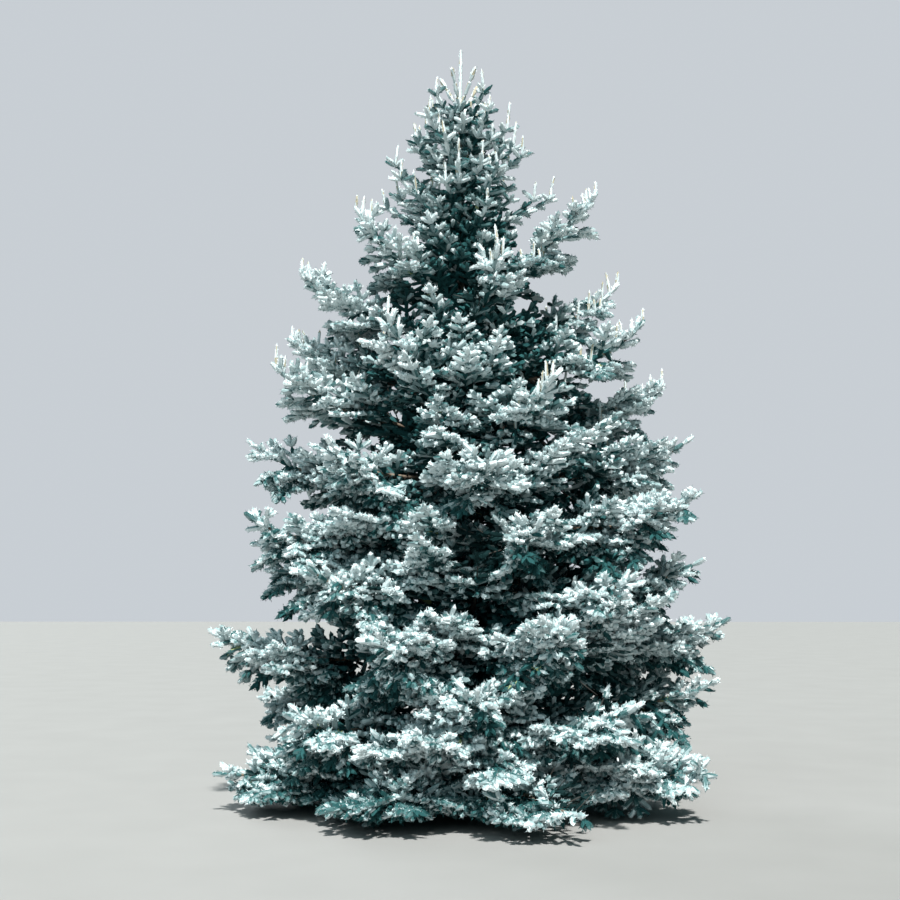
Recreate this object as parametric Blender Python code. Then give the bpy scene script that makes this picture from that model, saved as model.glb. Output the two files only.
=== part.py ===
"""A Colorado blue spruce about six metres tall, grown in the open, with boughs down to the ground.

Metres, +Z up. The origin is the middle of the trunk's flat cut at ground level.
Azimuths are in degrees round the trunk: 0 is +X, 90 is +Y, and 270 is the front.
"""

import math
import random
from collections import namedtuple

import bmesh
import bpy
import numpy as np
from mathutils import Matrix, Vector

# The whole tree
TREE_HEIGHT = 6.11
GAP = 0.0004  # between two solids that meet
GROUND_CLEARANCE = 0.006
LOWEST_TIP = 0.15  # of a branch, above the ground

# The trunk
TRUNK_TOP = 4.34  # above this the leader and its whorls are the top mass
TRUNK_BASE_RADIUS = 0.100
TRUNK_TOP_RADIUS = 0.024
TAPER_POWER = 0.92
FLARE_RADIUS = 0.050
FLARE_HEIGHT = 0.13
FLARE_LOBES = 5
FLARE_LOBE_SHARE = 0.16
LEAN_X, LEAN_Y = -0.055, 0.020  # how far the tip stands off the foot
SWEEP = 0.018  # the slight S of the trunk
TRUNK_SIDES = 10
TRUNK_RINGS = 12

# The boughs: azimuth, horizontal reach of the tip, height of the tip
Bough = namedtuple("Bough", "azimuth reach tip_height")
Tier = namedtuple("Tier", "root_height start_angle tip_angle has_limbs boughs")

TIERS = (
    Tier(0.32, -2, 6, True, (
        Bough(326, 2.08, 0.34), Bough(290, 2.12, 0.21), Bough(250, 1.92, 0.24),
        Bough(200, 2.00, 0.28), Bough(125, 1.95, 0.26), Bough(45, 1.92, 0.26))),
    Tier(0.78, -3, 30, True, (
        Bough(354, 1.96, 0.94), Bough(310, 1.80, 0.84), Bough(272, 1.78, 0.98),
        Bough(226, 1.84, 0.78), Bough(160, 1.84, 0.82), Bough(84, 1.86, 0.86))),
    Tier(1.22, -2, 34, False, (
        Bough(4, 2.12, 1.40), Bough(294, 1.80, 1.42), Bough(250, 1.78, 1.34),
        Bough(188, 2.04, 1.32), Bough(115, 1.86, 1.38))),
    Tier(1.66, 2, 32, False, (
        Bough(342, 1.88, 1.86), Bough(313, 1.74, 1.74), Bough(232, 1.80, 1.78),
        Bough(160, 1.88, 1.92), Bough(60, 1.84, 1.88))),
    Tier(2.06, 5, 36, False, (
        Bough(332, 1.94, 2.34), Bough(288, 1.62, 2.10), Bough(211, 1.90, 2.18),
        Bough(130, 1.80, 2.32), Bough(38, 1.76, 2.36))),
    Tier(2.42, 9, 40, False, (
        Bough(5, 1.86, 2.88), Bough(275, 1.60, 2.58), Bough(232, 1.64, 2.70),
        Bough(179, 1.80, 2.84), Bough(85, 1.60, 2.84))),
    Tier(2.78, 14, 46, False, (
        Bough(14, 1.72, 3.36), Bough(296, 1.40, 3.16), Bough(196, 1.60, 3.39),
        Bough(112, 1.46, 3.34))),
    Tier(3.12, 20, 52, False, (
        Bough(346, 1.44, 3.74), Bough(242, 1.26, 3.64), Bough(168, 1.54, 3.76),
        Bough(74, 1.28, 3.76))),
    Tier(3.48, 27, 58, False, (
        Bough(5, 1.26, 4.16), Bough(284, 0.96, 4.20), Bough(182, 1.38, 4.24))),
    Tier(3.90, 34, 62, False, (
        Bough(340, 1.10, 4.78), Bough(204, 0.98, 4.66), Bough(92, 0.98, 4.70))),
)

# A bough's wood
BARE_SHARE_PER_REACH = 0.125  # how much of a bough is bare before its foliage, for each metre of reach
LIMB_POINTS = 4
BOUGH_RADIUS_PER_REACH = 0.0135
BOUGH_LEAST_RADIUS = 0.011
BOUGH_TIP_RADIUS = 0.006
JOINT_LENGTH = 0.02  # straight on both sides of the joint of bough and foliage
ROOT_STAGGER = 0.04  # neighbours in a tier leave the trunk a little above and below its height
HANDLE_SHARE = 0.36  # how far a bough keeps its first and last direction
STEM_POINTS = 4

# The branching rule, which every mass follows
BRANCH_SPACING = 0.080  # along the stem, left and right in turn
FEWEST_BRANCHES = 14
BRANCH_LEAST = 0.26
BRANCH_SHARE = 0.40  # of the fan's length, what the longest side branch has more than the least
SPREAD_ANGLE = 54
SPREAD_JITTER = 9
LEAST_DROOP, MOST_DROOP = -18, 46
LENGTH_JITTER = 0.16
FAN_START, FAN_END = 0.05, 0.93  # share of the fan's length with side branches
BRANCH_STEP = 3  # the solids keep every third branch of the rule

# A branch widens into a spray of needles: its length, and the rings of its toothed outline
SPRAY_LENGTH = 0.40
SPRAY_RADIUS = 0.132
SPRAY_RINGS = ((0.36, 1.0, 0), (0.42, 0.42, 60), (0.78, 0.78, 60))  # share of length, width, twist
SPRAY_FLATNESS = 0.72
SHORT_BRANCH = 0.35  # has one ring of teeth, not two
BRANCH_ROOT_RADIUS = 0.014
BRANCH_SCALES = (1.0, 0.8, 0.6)  # a branch with too little room is tried smaller, then left out
UPRIGHT_EVERY = 4  # every fourth side branch of the solids has one beside it that stands up
UPRIGHT_RISE = 1.0
UPRIGHT_LENGTH = 0.36
UPRIGHT_SHIFT = 0.04  # of the fan's length, further along the stem

# The dense core that the sprays of a bough stand out of
CORE_START, CORE_END = 0.06, 0.80
CORE_WIDTH = 0.165  # of the fan's length, at its widest tooth
CORE_FLATNESS = 0.52
CORE_WIDTHS = (0.25, 0.95, 0.50, 0.90, 0.10)

# The top of the tree: its leader, and whorls of upright branches on it
LEADER_TEETH = 9
LEADER_ROOT_RADIUS, LEADER_TIP_RADIUS = 0.024, 0.012
LEADER_TOOTH_RADIUS = 0.055
LEADER_SPRAY_LENGTH, LEADER_SPRAY_RADIUS = 0.40, 0.045
WHORL_SPRAY_RADIUS = 0.085
WHORL_STAGGER = 0.022  # the branches of a whorl stand one a little above another
FORK_REACH = 0.7  # a branch of the top that reaches further has two more at its middle
FORK_TURN = 42
FORK_LENGTH = 0.34
Whorl = namedtuple("Whorl", "height branches reach rise phase")
TOP_WHORLS = (
    Whorl(4.40, 5, 0.82, 0.56, 8),
    Whorl(4.68, 5, 0.62, 0.50, 48),
    Whorl(4.96, 5, 0.45, 0.46, 16),
    Whorl(5.26, 4, 0.28, 0.40, 55),
    Whorl(5.55, 5, 0.17, 0.31, 30),
)

BARK_COLOUR = (0.21, 0.165, 0.13, 1)
NEEDLE_COLOUR = (0.36, 0.50, 0.52, 1)

Kit = namedtuple("Kit", "cutter stem_profile core_profile spray_profile helpers pieces collection bark needles")
Mass = namedtuple("Mass", "name limb_name seed line bare fan_length radius sector azimuth")


def clear_scene():
    for obj in list(bpy.data.objects):
        bpy.data.objects.remove(obj)


def new_collection(name):
    made = bpy.data.collections.new(name)
    bpy.context.scene.collection.children.link(made)
    return made


def plain_material(name, colour, roughness):
    made = bpy.data.materials.new(name)
    made.use_nodes = True
    shader = made.node_tree.nodes["Principled BSDF"]
    shader.inputs["Base Color"].default_value = colour
    shader.inputs["Roughness"].default_value = roughness
    shader.inputs["Metallic"].default_value = 0.0
    return made


def trunk_axis(height):
    """The middle of the trunk at this height."""
    share = height / TREE_HEIGHT
    sweep = SWEEP * math.sin(math.tau * share)
    return Vector((LEAN_X * share + sweep, LEAN_Y * share - 0.5 * sweep, height))


def trunk_radius(height):
    share = max(0.0, 1 - height / TRUNK_TOP)
    return TRUNK_TOP_RADIUS + (TRUNK_BASE_RADIUS - TRUNK_TOP_RADIUS) * share**TAPER_POWER


def trunk_mesh(name, extra):
    """The trunk as a loft from its lobed foot to its round top, each ring wider by extra."""
    bm = bmesh.new()
    rings = []
    for i in range(TRUNK_RINGS):
        height = TRUNK_TOP * (i / (TRUNK_RINGS - 1)) ** 1.6
        flare = math.exp(-height / FLARE_HEIGHT)
        middle = trunk_axis(height)
        ring = []
        for side in range(TRUNK_SIDES):
            angle = math.tau * side / TRUNK_SIDES
            lobe = 1 + FLARE_LOBE_SHARE * flare * math.cos(FLARE_LOBES * angle)
            radius = (trunk_radius(height) + FLARE_RADIUS * flare) * lobe + extra
            ring.append(bm.verts.new(middle + radius * Vector((math.cos(angle), math.sin(angle), 0))))
        rings.append(ring)
    for low, high in zip(rings, rings[1:]):
        for side in range(TRUNK_SIDES):
            after = (side + 1) % TRUNK_SIDES
            bm.faces.new((low[side], low[after], high[after]))
            bm.faces.new((low[side], high[after], high[side]))
    bm.faces.new(list(reversed(rings[0])))
    bm.faces.new(rings[-1])
    mesh = bpy.data.meshes.new(name)
    bm.to_mesh(mesh)
    bm.free()
    return mesh


def add_object(name, data, collection):
    made = bpy.data.objects.new(name, data)
    collection.objects.link(made)
    return made


def profile_curve(name, sides, flatness, helpers):
    """A closed outline of a few sides that a curve takes as its section."""
    data = bpy.data.curves.new(name, "CURVE")
    data.dimensions = "2D"
    spline = data.splines.new("POLY")
    spline.points.add(sides - 1)
    for i, point in enumerate(spline.points):
        angle = math.tau * i / sides + math.pi / 2 * (sides == 3)
        point.co = (math.cos(angle), math.sin(angle) * flatness, 0, 1)
    spline.use_cyclic_u = True
    made = add_object(name, data, helpers)
    made.hide_render = True
    made.display_type = "WIRE"
    return made


def swept(name, points, radii, collection, profile=None, twists=None, weld=1e-5):
    """A mesh object: a section swept along points, round with six sides where no profile is given."""
    data = bpy.data.curves.new(name, "CURVE")
    data.dimensions = "3D"
    data.use_fill_caps = True
    data.twist_mode = "Z_UP"
    if profile:
        data.bevel_mode = "OBJECT"
        data.bevel_object = profile
    else:
        data.bevel_depth = 1.0
        data.bevel_resolution = 1
    spline = data.splines.new("POLY")
    spline.points.add(len(points) - 1)
    for i, point in enumerate(spline.points):
        point.co = (*points[i], 1)
        point.radius = radii[i]
        point.tilt = math.radians(twists[i]) if twists else 0
    curve = add_object(name + "_path", data, collection)
    graph = bpy.context.evaluated_depsgraph_get()
    mesh = bpy.data.meshes.new_from_object(curve.evaluated_get(graph))
    bm = bmesh.new()
    bm.from_mesh(mesh)
    bmesh.ops.remove_doubles(bm, verts=bm.verts, dist=weld)
    bmesh.ops.recalc_face_normals(bm, faces=bm.faces)
    bm.to_mesh(mesh)
    bm.free()
    made = add_object(name, mesh, collection)
    made.matrix_world = curve.matrix_world
    bpy.data.objects.remove(curve)
    return made


def bezier(points, share):
    a, b, c, d = points
    rest = 1 - share
    return a * rest**3 + b * 3 * rest**2 * share + c * 3 * rest * share**2 + d * share**3


def bough_line(tier, bough, number):
    """The four control points of a bough's middle line, from inside the trunk to its furthest tip."""
    turn = math.radians(bough.azimuth)
    outward = Vector((math.cos(turn), math.sin(turn), 0))
    root = trunk_axis(tier.root_height + (ROOT_STAGGER if number % 2 else -ROOT_STAGGER))
    tip = outward * bough.reach + Vector((0, 0, bough.tip_height))
    handle = HANDLE_SHARE * bough.reach
    start, end = math.radians(tier.start_angle), math.radians(tier.tip_angle)
    first = root + handle * (outward * math.cos(start) + Vector((0, 0, math.sin(start))))
    last = tip - handle * (outward * math.cos(end) + Vector((0, 0, math.sin(end))))
    return root, first, last, tip


def sector_of(tier, bough):
    """Half the angle that a bough's foliage may fill before it meets the next bough of its tier."""
    turns = [abs((other.azimuth - bough.azimuth + 180) % 360 - 180) for other in tier.boughs if other != bough]
    return min(turns) / 2


def all_masses():
    masses = []
    for level, tier in enumerate(TIERS, 1):
        for number, bough in enumerate(tier.boughs, 1):
            label = f"{level:02d}_{number}"
            bare = BARE_SHARE_PER_REACH * bough.reach
            masses.append(Mass(
                name="foliage_" + label,
                limb_name="bough_" + label if tier.has_limbs else None,
                seed=100 * level + number,
                line=bough_line(tier, bough, number),
                bare=bare,
                fan_length=bough.reach * (1 - bare),
                radius=max(BOUGH_LEAST_RADIUS, BOUGH_RADIUS_PER_REACH * bough.reach),
                sector=sector_of(tier, bough),
                azimuth=bough.azimuth))
    return masses


def stem_point(mass, share):
    """A point on the stem of a mass: 0 where its foliage starts, 1 at its tip."""
    return bezier(mass.line, mass.bare + (1 - mass.bare) * share)


def stem_frame(mass, share):
    """Forward, sideways and upward directions of the stem there."""
    step = 0.01
    forward = (stem_point(mass, share + step) - stem_point(mass, share - step)).normalized()
    side = forward.cross(Vector((0, 0, 1))).normalized()
    return forward, side, side.cross(forward)


def side_branches(mass):
    """The branching rule: (share of the stem, left or right, direction, length) of each side branch."""
    rng = random.Random(mass.seed)
    count = max(FEWEST_BRANCHES, round(mass.fan_length / BRANCH_SPACING))
    branches = []
    for i in range(count):
        share = FAN_START + (FAN_END - FAN_START) * (i + rng.uniform(0.2, 0.8)) / count
        hand = 1 if i % 2 else -1
        spread = math.radians(SPREAD_ANGLE + rng.uniform(-SPREAD_JITTER, SPREAD_JITTER))
        droop = math.radians(rng.uniform(LEAST_DROOP, MOST_DROOP))
        swell = min(1.0, 0.45 + 2.2 * share) * (1 - share) ** 0.75
        jitter = 1 + rng.uniform(-LENGTH_JITTER, LENGTH_JITTER)
        length = BRANCH_LEAST * (1 - 0.4 * share) + BRANCH_SHARE * mass.fan_length * swell * jitter
        forward, side, up = stem_frame(mass, share)
        direction = forward * math.cos(spread) + side * (hand * math.sin(spread))
        direction.z -= math.tan(droop)
        height = stem_point(mass, share).z - LOWEST_TIP
        direction.z = max(direction.z, -height / length)
        branches.append((share, hand, direction.normalized(), length))
    return branches


class Claims:
    """The space that placed pieces take, as thick segments, so that no two masses or limbs touch."""

    def __init__(self):
        self.starts, self.ends, self.radii, self.owners = [], [], [], []

    def add(self, owner, start, end, radius):
        self.starts.append(tuple(start))
        self.ends.append(tuple(end))
        self.radii.append(radius)
        self.owners.append(owner)

    def free(self, owner, start, end, radius):
        """True if the segment keeps clear of every piece of another owner."""
        others = np.array([o != owner for o in self.owners])
        p, q = np.array(start), np.array(end)
        a, b = np.array(self.starts)[others], np.array(self.ends)[others]
        d1, d2, r = q - p, b - a, p - a
        along = d1 @ d1
        across = np.maximum((d2 * d2).sum(1), 1e-12)
        c, f, mixed = r @ d1, (r * d2).sum(1), d2 @ d1
        spread = np.maximum(along * across - mixed**2, 1e-12)
        s = np.clip((mixed * f - c * across) / spread, 0, 1)
        t = np.clip((mixed * s + f) / across, 0, 1)
        s = np.clip((mixed * t - c) / along, 0, 1)
        apart = np.linalg.norm(r + s[:, None] * d1 - t[:, None] * d2, axis=1)
        return bool((apart > radius + np.array(self.radii)[others] + 0.002).all())


def in_space(mass, segments):
    """True if a branch keeps to its mass's sector, and above the ground."""
    end = segments[-1][1]
    turn = math.degrees(math.atan2(end.y, end.x))
    off = abs((turn - mass.azimuth + 180) % 360 - 180)
    lowest = min(min(start.z, end.z) - radius for start, end, radius in segments)
    return off < mass.sector + 6 and lowest > GROUND_CLEARANCE


def add_branch(kit, start, direction, length, spray_radius):
    """A three-sided branch that widens into its toothed spray of needles."""
    spray = min(length, SPRAY_LENGTH)
    rings = SPRAY_RINGS if length > SHORT_BRANCH else SPRAY_RINGS[:2]
    points, radii, twists = [start], [min(BRANCH_ROOT_RADIUS, spray_radius * 0.3)], [0]
    for share, width, twist in rings:
        points.append(start + direction * (length - spray * (1 - share)))
        radii.append(spray_radius * width)
        twists.append(twist)
    points.append(start + direction * length)
    radii.append(0)
    twists.append(twists[-1])
    return swept("branch", points, radii, kit.pieces, kit.spray_profile, twists)


def branch_claims(start, direction, length, spray_radius):
    """The thick segments that hold a branch."""
    spray = min(length, SPRAY_LENGTH)
    widest = length - spray * (1 - SPRAY_RINGS[0][0])
    first, last = start + direction * (widest / 2), start + direction * length
    return (start, first, spray_radius * 0.6), (first, last, spray_radius)


def keep_largest_shell(mesh):
    """Drops loose scraps, and fills hollows that the union sealed."""
    bm = bmesh.new()
    bm.from_mesh(mesh)
    unseen = set(bm.faces)
    shells = []
    while unseen:
        shell, edge_of_search = set(), [unseen.pop()]
        while edge_of_search:
            face = edge_of_search.pop()
            shell.add(face)
            for edge in face.edges:
                for other in edge.link_faces:
                    if other in unseen:
                        unseen.remove(other)
                        edge_of_search.append(other)
        shells.append(shell)
    largest = max(shells, key=lambda shell: sum(face.calc_area() for face in shell))
    spare = [face for shell in shells if shell is not largest for face in shell]
    bmesh.ops.delete(bm, geom=spare, context="FACES")
    bm.to_mesh(mesh)
    bm.free()


def fuse(name, base, kit):
    """Joins the pieces of a mass to its base by one union, and keeps the result."""
    union = base.modifiers.new("join", "BOOLEAN")
    union.operation = "UNION"
    union.operand_type = "COLLECTION"
    union.collection = kit.pieces
    union.solver = "MANIFOLD"
    graph = bpy.context.evaluated_depsgraph_get()
    mesh = bpy.data.meshes.new_from_object(base.evaluated_get(graph))
    for obj in list(kit.pieces.objects):
        bpy.data.objects.remove(obj)
    bpy.data.objects.remove(base)
    keep_largest_shell(mesh)
    mesh.name = name
    mesh.materials.clear()
    mesh.materials.append(kit.needles)
    return add_object(name, mesh, kit.collection)


def cut_clear(limb, cutter):
    """Cuts the inner end of a limb or stem clear of the trunk."""
    cut = limb.modifiers.new("clear", "BOOLEAN")
    cut.operation = "DIFFERENCE"
    cut.object = cutter
    cut.solver = "EXACT"
    graph = bpy.context.evaluated_depsgraph_get()
    mesh = bpy.data.meshes.new_from_object(limb.evaluated_get(graph))
    limb.modifiers.clear()
    limb.data = mesh


def wood_radius(mass, share):
    """The radius of a bough's wood at this share of its whole line."""
    return BOUGH_TIP_RADIUS + (mass.radius - BOUGH_TIP_RADIUS) * (1 - share) ** 0.8


def wood_points(mass, first, last, count):
    """Points and radii of a bough's wood between two shares of its whole line."""
    shares = [first + (last - first) * i / (count - 1) for i in range(count)]
    return [bezier(mass.line, share) for share in shares], [wood_radius(mass, share) for share in shares]


def make_limb(mass, kit):
    """The bare inner part of a main bough, from the trunk to where its foliage starts."""
    points, radii = wood_points(mass, 0, mass.bare, LIMB_POINTS)
    forward = stem_frame(mass, 0)[0]
    points[-1] = stem_point(mass, 0) - forward * (GAP / 2)
    points.insert(-1, points[-1] - forward * JOINT_LENGTH)
    radii.insert(-1, radii[-1])
    made = swept(mass.limb_name, points, radii, kit.collection)
    cut_clear(made, kit.cutter)
    made.data.materials.clear()
    made.data.materials.append(kit.bark)
    return made


def make_stem(mass, kit):
    """The stem of a mass, from its bough's tip or from the trunk."""
    last = 1 - SPRAY_LENGTH * 0.8 / mass.fan_length * (1 - mass.bare)
    points, radii = wood_points(mass, mass.bare if mass.limb_name else 0, last, STEM_POINTS)
    if mass.limb_name:
        forward = stem_frame(mass, 0)[0]
        points[0] = stem_point(mass, 0) + forward * (GAP / 2)
        points.insert(1, points[0] + forward * JOINT_LENGTH)
        radii.insert(1, radii[0])
    made = swept(mass.name + "_stem", points, radii, kit.helpers, kit.stem_profile)
    if not mass.limb_name:
        cut_clear(made, kit.cutter)
    return made


def core_line(mass):
    """Points along the core and its half widths there, inside the bough's sector and off the ground."""
    last = len(CORE_WIDTHS) - 1
    points, widths = [], []
    for i, width in enumerate(CORE_WIDTHS):
        point = stem_point(mass, CORE_START + (CORE_END - CORE_START) * i / last)
        room = 0.8 * math.hypot(point.x, point.y) * math.sin(math.radians(mass.sector))
        height = (point.z - GROUND_CLEARANCE) / CORE_FLATNESS
        points.append(point)
        widths.append(min(width * CORE_WIDTH * mass.fan_length, width * room, height))
    return points, widths


def claim_core(mass, claims):
    points, widths = core_line(mass)
    for i in range(len(points) - 1):
        wide = max(widths[i], widths[i + 1])
        side = (points[i + 1] - points[i]).cross(Vector((0, 0, 1))).normalized()
        for across, share in ((-0.72, 0.28), (0, CORE_FLATNESS), (0.72, 0.28)):
            shift = side * (across * wide)
            claims.add(mass.name, points[i] + shift, points[i + 1] + shift, share * wide)


def claim_wood(mass, claims):
    steps = 10
    for i in range(steps):
        near, far = i / steps, (i + 1) / steps
        owner = mass.limb_name if mass.limb_name and far < mass.bare else mass.name
        claims.add(owner, bezier(mass.line, near), bezier(mass.line, far), wood_radius(mass, near))


def grow_branch(mass, claims, kit, start, direction, length):
    """Adds a branch to a mass, unless it would leave its space or touch another piece."""
    for scale in BRANCH_SCALES:
        segments = branch_claims(start, direction, length * scale, SPRAY_RADIUS * scale)
        if in_space(mass, segments) and all(claims.free(mass.name, *segment) for segment in segments):
            for segment in segments:
                claims.add(mass.name, *segment)
            add_branch(kit, start, direction, length * scale, SPRAY_RADIUS * scale)
            return


def grow_mass(mass, claims, kit):
    """One mass: its stem, its core, and the branches of the rule that keep to its space."""
    base = make_stem(mass, kit)
    points, widths = core_line(mass)
    swept(mass.name + "_core", points, widths, kit.pieces, kit.core_profile)
    root, tip = stem_point(mass, 1 - SPRAY_LENGTH / mass.fan_length), stem_point(mass, 1)
    add_branch(kit, root, (tip - root).normalized(), (tip - root).length, SPRAY_RADIUS)
    for i, (share, hand, direction, length) in enumerate(side_branches(mass)[::BRANCH_STEP]):
        start = stem_point(mass, share)
        grow_branch(mass, claims, kit, start, direction, length)
        if i % UPRIGHT_EVERY == 1:
            raised = (direction + Vector((0, 0, UPRIGHT_RISE))).normalized()
            beside = stem_point(mass, share + UPRIGHT_SHIFT)
            grow_branch(mass, claims, kit, beside, raised, UPRIGHT_LENGTH)
    return fuse(mass.name, base, kit)


def leader_base():
    """Points, radii and twists of the toothed leader, up to its last spray."""
    first, last = TRUNK_TOP + GAP, TREE_HEIGHT - LEADER_SPRAY_LENGTH
    points, radii, twists = [trunk_axis(TRUNK_TOP) + Vector((0, 0, GAP))], [LEADER_ROOT_RADIUS], [0]
    points.append(points[0] + Vector((0, 0, JOINT_LENGTH)))
    radii.append(LEADER_ROOT_RADIUS)
    twists.append(0)
    for i in range(1, LEADER_TEETH + 1):
        points.append(trunk_axis(first + (last - first) * i / LEADER_TEETH))
        radii.append(LEADER_TOOTH_RADIUS if i % 2 else LEADER_TIP_RADIUS)
        twists.append(60 * (i // 2 % 2))
    return points, radii, twists


def grow_top(claims, kit):
    """The top mass: the leader above the trunk, and its whorls of branches."""
    name = "foliage_top"
    points, radii, twists = leader_base()
    base = swept(name + "_stem", points, radii, kit.helpers, kit.stem_profile, twists)
    knee, tip = trunk_axis(TREE_HEIGHT - LEADER_SPRAY_LENGTH - 0.03), trunk_axis(TREE_HEIGHT)
    add_branch(kit, knee, (tip - knee).normalized(), (tip - knee).length, LEADER_SPRAY_RADIUS)
    for whorl in TOP_WHORLS:
        for number in range(whorl.branches):
            turn = math.radians(whorl.phase + 360 * number / whorl.branches)
            start = trunk_axis(whorl.height + WHORL_STAGGER * number)
            run = Vector((math.cos(turn) * whorl.reach, math.sin(turn) * whorl.reach, whorl.rise))
            shoots = [(start, run.normalized(), run.length)]
            if whorl.reach > FORK_REACH:
                for hand in (-1, 1):
                    fork = run.normalized()
                    fork.rotate(Matrix.Rotation(math.radians(hand * FORK_TURN), 3, "Z"))
                    shoots.append((start + run * 0.42, fork, FORK_LENGTH))
            for shoot in shoots:
                segments = branch_claims(*shoot, WHORL_SPRAY_RADIUS)
                if all(claims.free(name, *segment) for segment in segments[1:]):
                    for segment in segments:
                        claims.add(name, *segment)
                    add_branch(kit, *shoot, WHORL_SPRAY_RADIUS)
    return fuse(name, base, kit)


def build():
    clear_scene()
    tree = new_collection("colorado_blue_spruce")
    helpers = new_collection("helpers")
    pieces = new_collection("pieces")
    bark = plain_material("bark", BARK_COLOUR, 0.9)
    needles = plain_material("needles", NEEDLE_COLOUR, 0.7)

    trunk = add_object("trunk", trunk_mesh("trunk", 0), tree)
    trunk.data.materials.append(bark)
    cutter = add_object("trunk_space", trunk_mesh("trunk_space", GAP), helpers)

    kit = Kit(
        cutter=cutter,
        stem_profile=profile_curve("stem_section", 3, 1.0, helpers),
        core_profile=profile_curve("core_section", 4, CORE_FLATNESS, helpers),
        spray_profile=profile_curve("spray_section", 3, SPRAY_FLATNESS, helpers),
        helpers=helpers, pieces=pieces, collection=tree, bark=bark, needles=needles)

    masses = all_masses()
    claims = Claims()
    for mass in masses:
        claim_wood(mass, claims)
        claim_core(mass, claims)
    for i in range(8):
        low, high = TRUNK_TOP * i / 8, TRUNK_TOP * (i + 1) / 8
        claims.add("trunk", trunk_axis(low), trunk_axis(high), trunk_radius(low) + 0.01)
    claims.add("foliage_top", trunk_axis(TRUNK_TOP), trunk_axis(TREE_HEIGHT), SPRAY_RADIUS)

    for mass in masses:
        if mass.limb_name:
            make_limb(mass, kit)
    for mass in masses:
        grow_mass(mass, claims, kit)
    grow_top(claims, kit)

    for obj in list(helpers.objects):
        bpy.data.objects.remove(obj)
    for used in (helpers, pieces):
        bpy.data.collections.remove(used)


build()
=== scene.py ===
"""The looks of a Colorado blue spruce: bark, twigs and needles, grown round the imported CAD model.

Metres, +Z up, in the CAD frame. Azimuths are in degrees round the trunk: 0 is +X, 90 is +Y, and 270
is the front. The boughs and their side branches follow the rule and the sizes of the CAD source,
and are carried to finer twigs here.
"""

import math
import random
from collections import namedtuple

import bpy
import numpy as np
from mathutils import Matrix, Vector, noise


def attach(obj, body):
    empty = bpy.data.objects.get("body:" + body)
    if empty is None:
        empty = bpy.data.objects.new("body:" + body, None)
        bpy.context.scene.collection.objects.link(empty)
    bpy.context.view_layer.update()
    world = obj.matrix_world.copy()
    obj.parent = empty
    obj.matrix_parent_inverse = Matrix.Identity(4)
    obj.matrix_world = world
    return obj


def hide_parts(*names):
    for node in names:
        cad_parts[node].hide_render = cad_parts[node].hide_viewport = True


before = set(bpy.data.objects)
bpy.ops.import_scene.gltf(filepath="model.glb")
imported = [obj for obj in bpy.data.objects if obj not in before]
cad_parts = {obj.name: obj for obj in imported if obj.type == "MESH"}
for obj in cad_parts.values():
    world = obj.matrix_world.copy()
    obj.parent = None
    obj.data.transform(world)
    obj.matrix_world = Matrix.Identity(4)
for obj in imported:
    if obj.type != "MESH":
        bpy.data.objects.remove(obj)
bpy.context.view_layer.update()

UP = Vector((0, 0, 1))
ON_STEM = Vector((0, 0, 0))  # how far a twig's foot stands beside the stem

# The sizes of the CAD source
TREE_HEIGHT = 6.11
LOWEST_TIP = 0.15
TRUNK_TOP = 4.34
TRUNK_BASE_RADIUS = 0.100
TRUNK_TOP_RADIUS = 0.024
TAPER_POWER = 0.92
FLARE_RADIUS = 0.050
FLARE_HEIGHT = 0.13
FLARE_LOBES = 5
FLARE_LOBE_SHARE = 0.16
LEAN_X, LEAN_Y = -0.055, 0.020
SWEEP = 0.018
SWEEP_ASIDE = 0.5  # of the sweep along X, how much there is along Y

Bough = namedtuple("Bough", "azimuth reach tip_height")
Tier = namedtuple("Tier", "root_height start_angle tip_angle has_limbs boughs")

TIERS = (
    Tier(0.32, -2, 6, True, (
        Bough(326, 2.08, 0.34), Bough(290, 2.12, 0.21), Bough(250, 1.92, 0.24),
        Bough(200, 2.00, 0.28), Bough(125, 1.95, 0.26), Bough(45, 1.92, 0.26))),
    Tier(0.78, -3, 30, True, (
        Bough(354, 1.96, 0.94), Bough(310, 1.80, 0.84), Bough(272, 1.78, 0.98),
        Bough(226, 1.84, 0.78), Bough(160, 1.84, 0.82), Bough(84, 1.86, 0.86))),
    Tier(1.22, -2, 34, False, (
        Bough(4, 2.12, 1.40), Bough(294, 1.80, 1.42), Bough(250, 1.78, 1.34),
        Bough(188, 2.04, 1.32), Bough(115, 1.86, 1.38))),
    Tier(1.66, 2, 32, False, (
        Bough(342, 1.88, 1.86), Bough(313, 1.74, 1.74), Bough(232, 1.80, 1.78),
        Bough(160, 1.88, 1.92), Bough(60, 1.84, 1.88))),
    Tier(2.06, 5, 36, False, (
        Bough(332, 1.94, 2.34), Bough(288, 1.62, 2.10), Bough(211, 1.90, 2.18),
        Bough(130, 1.80, 2.32), Bough(38, 1.76, 2.36))),
    Tier(2.42, 9, 40, False, (
        Bough(5, 1.86, 2.88), Bough(275, 1.60, 2.58), Bough(232, 1.64, 2.70),
        Bough(179, 1.80, 2.84), Bough(85, 1.60, 2.84))),
    Tier(2.78, 14, 46, False, (
        Bough(14, 1.72, 3.36), Bough(296, 1.40, 3.16), Bough(196, 1.60, 3.39),
        Bough(112, 1.46, 3.34))),
    Tier(3.12, 20, 52, False, (
        Bough(346, 1.44, 3.74), Bough(242, 1.26, 3.64), Bough(168, 1.54, 3.76),
        Bough(74, 1.28, 3.76))),
    Tier(3.48, 27, 58, False, (
        Bough(5, 1.26, 4.16), Bough(284, 0.96, 4.20), Bough(182, 1.38, 4.24))),
    Tier(3.90, 34, 62, False, (
        Bough(340, 1.10, 4.78), Bough(204, 0.98, 4.66), Bough(92, 0.98, 4.70))),
)

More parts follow.
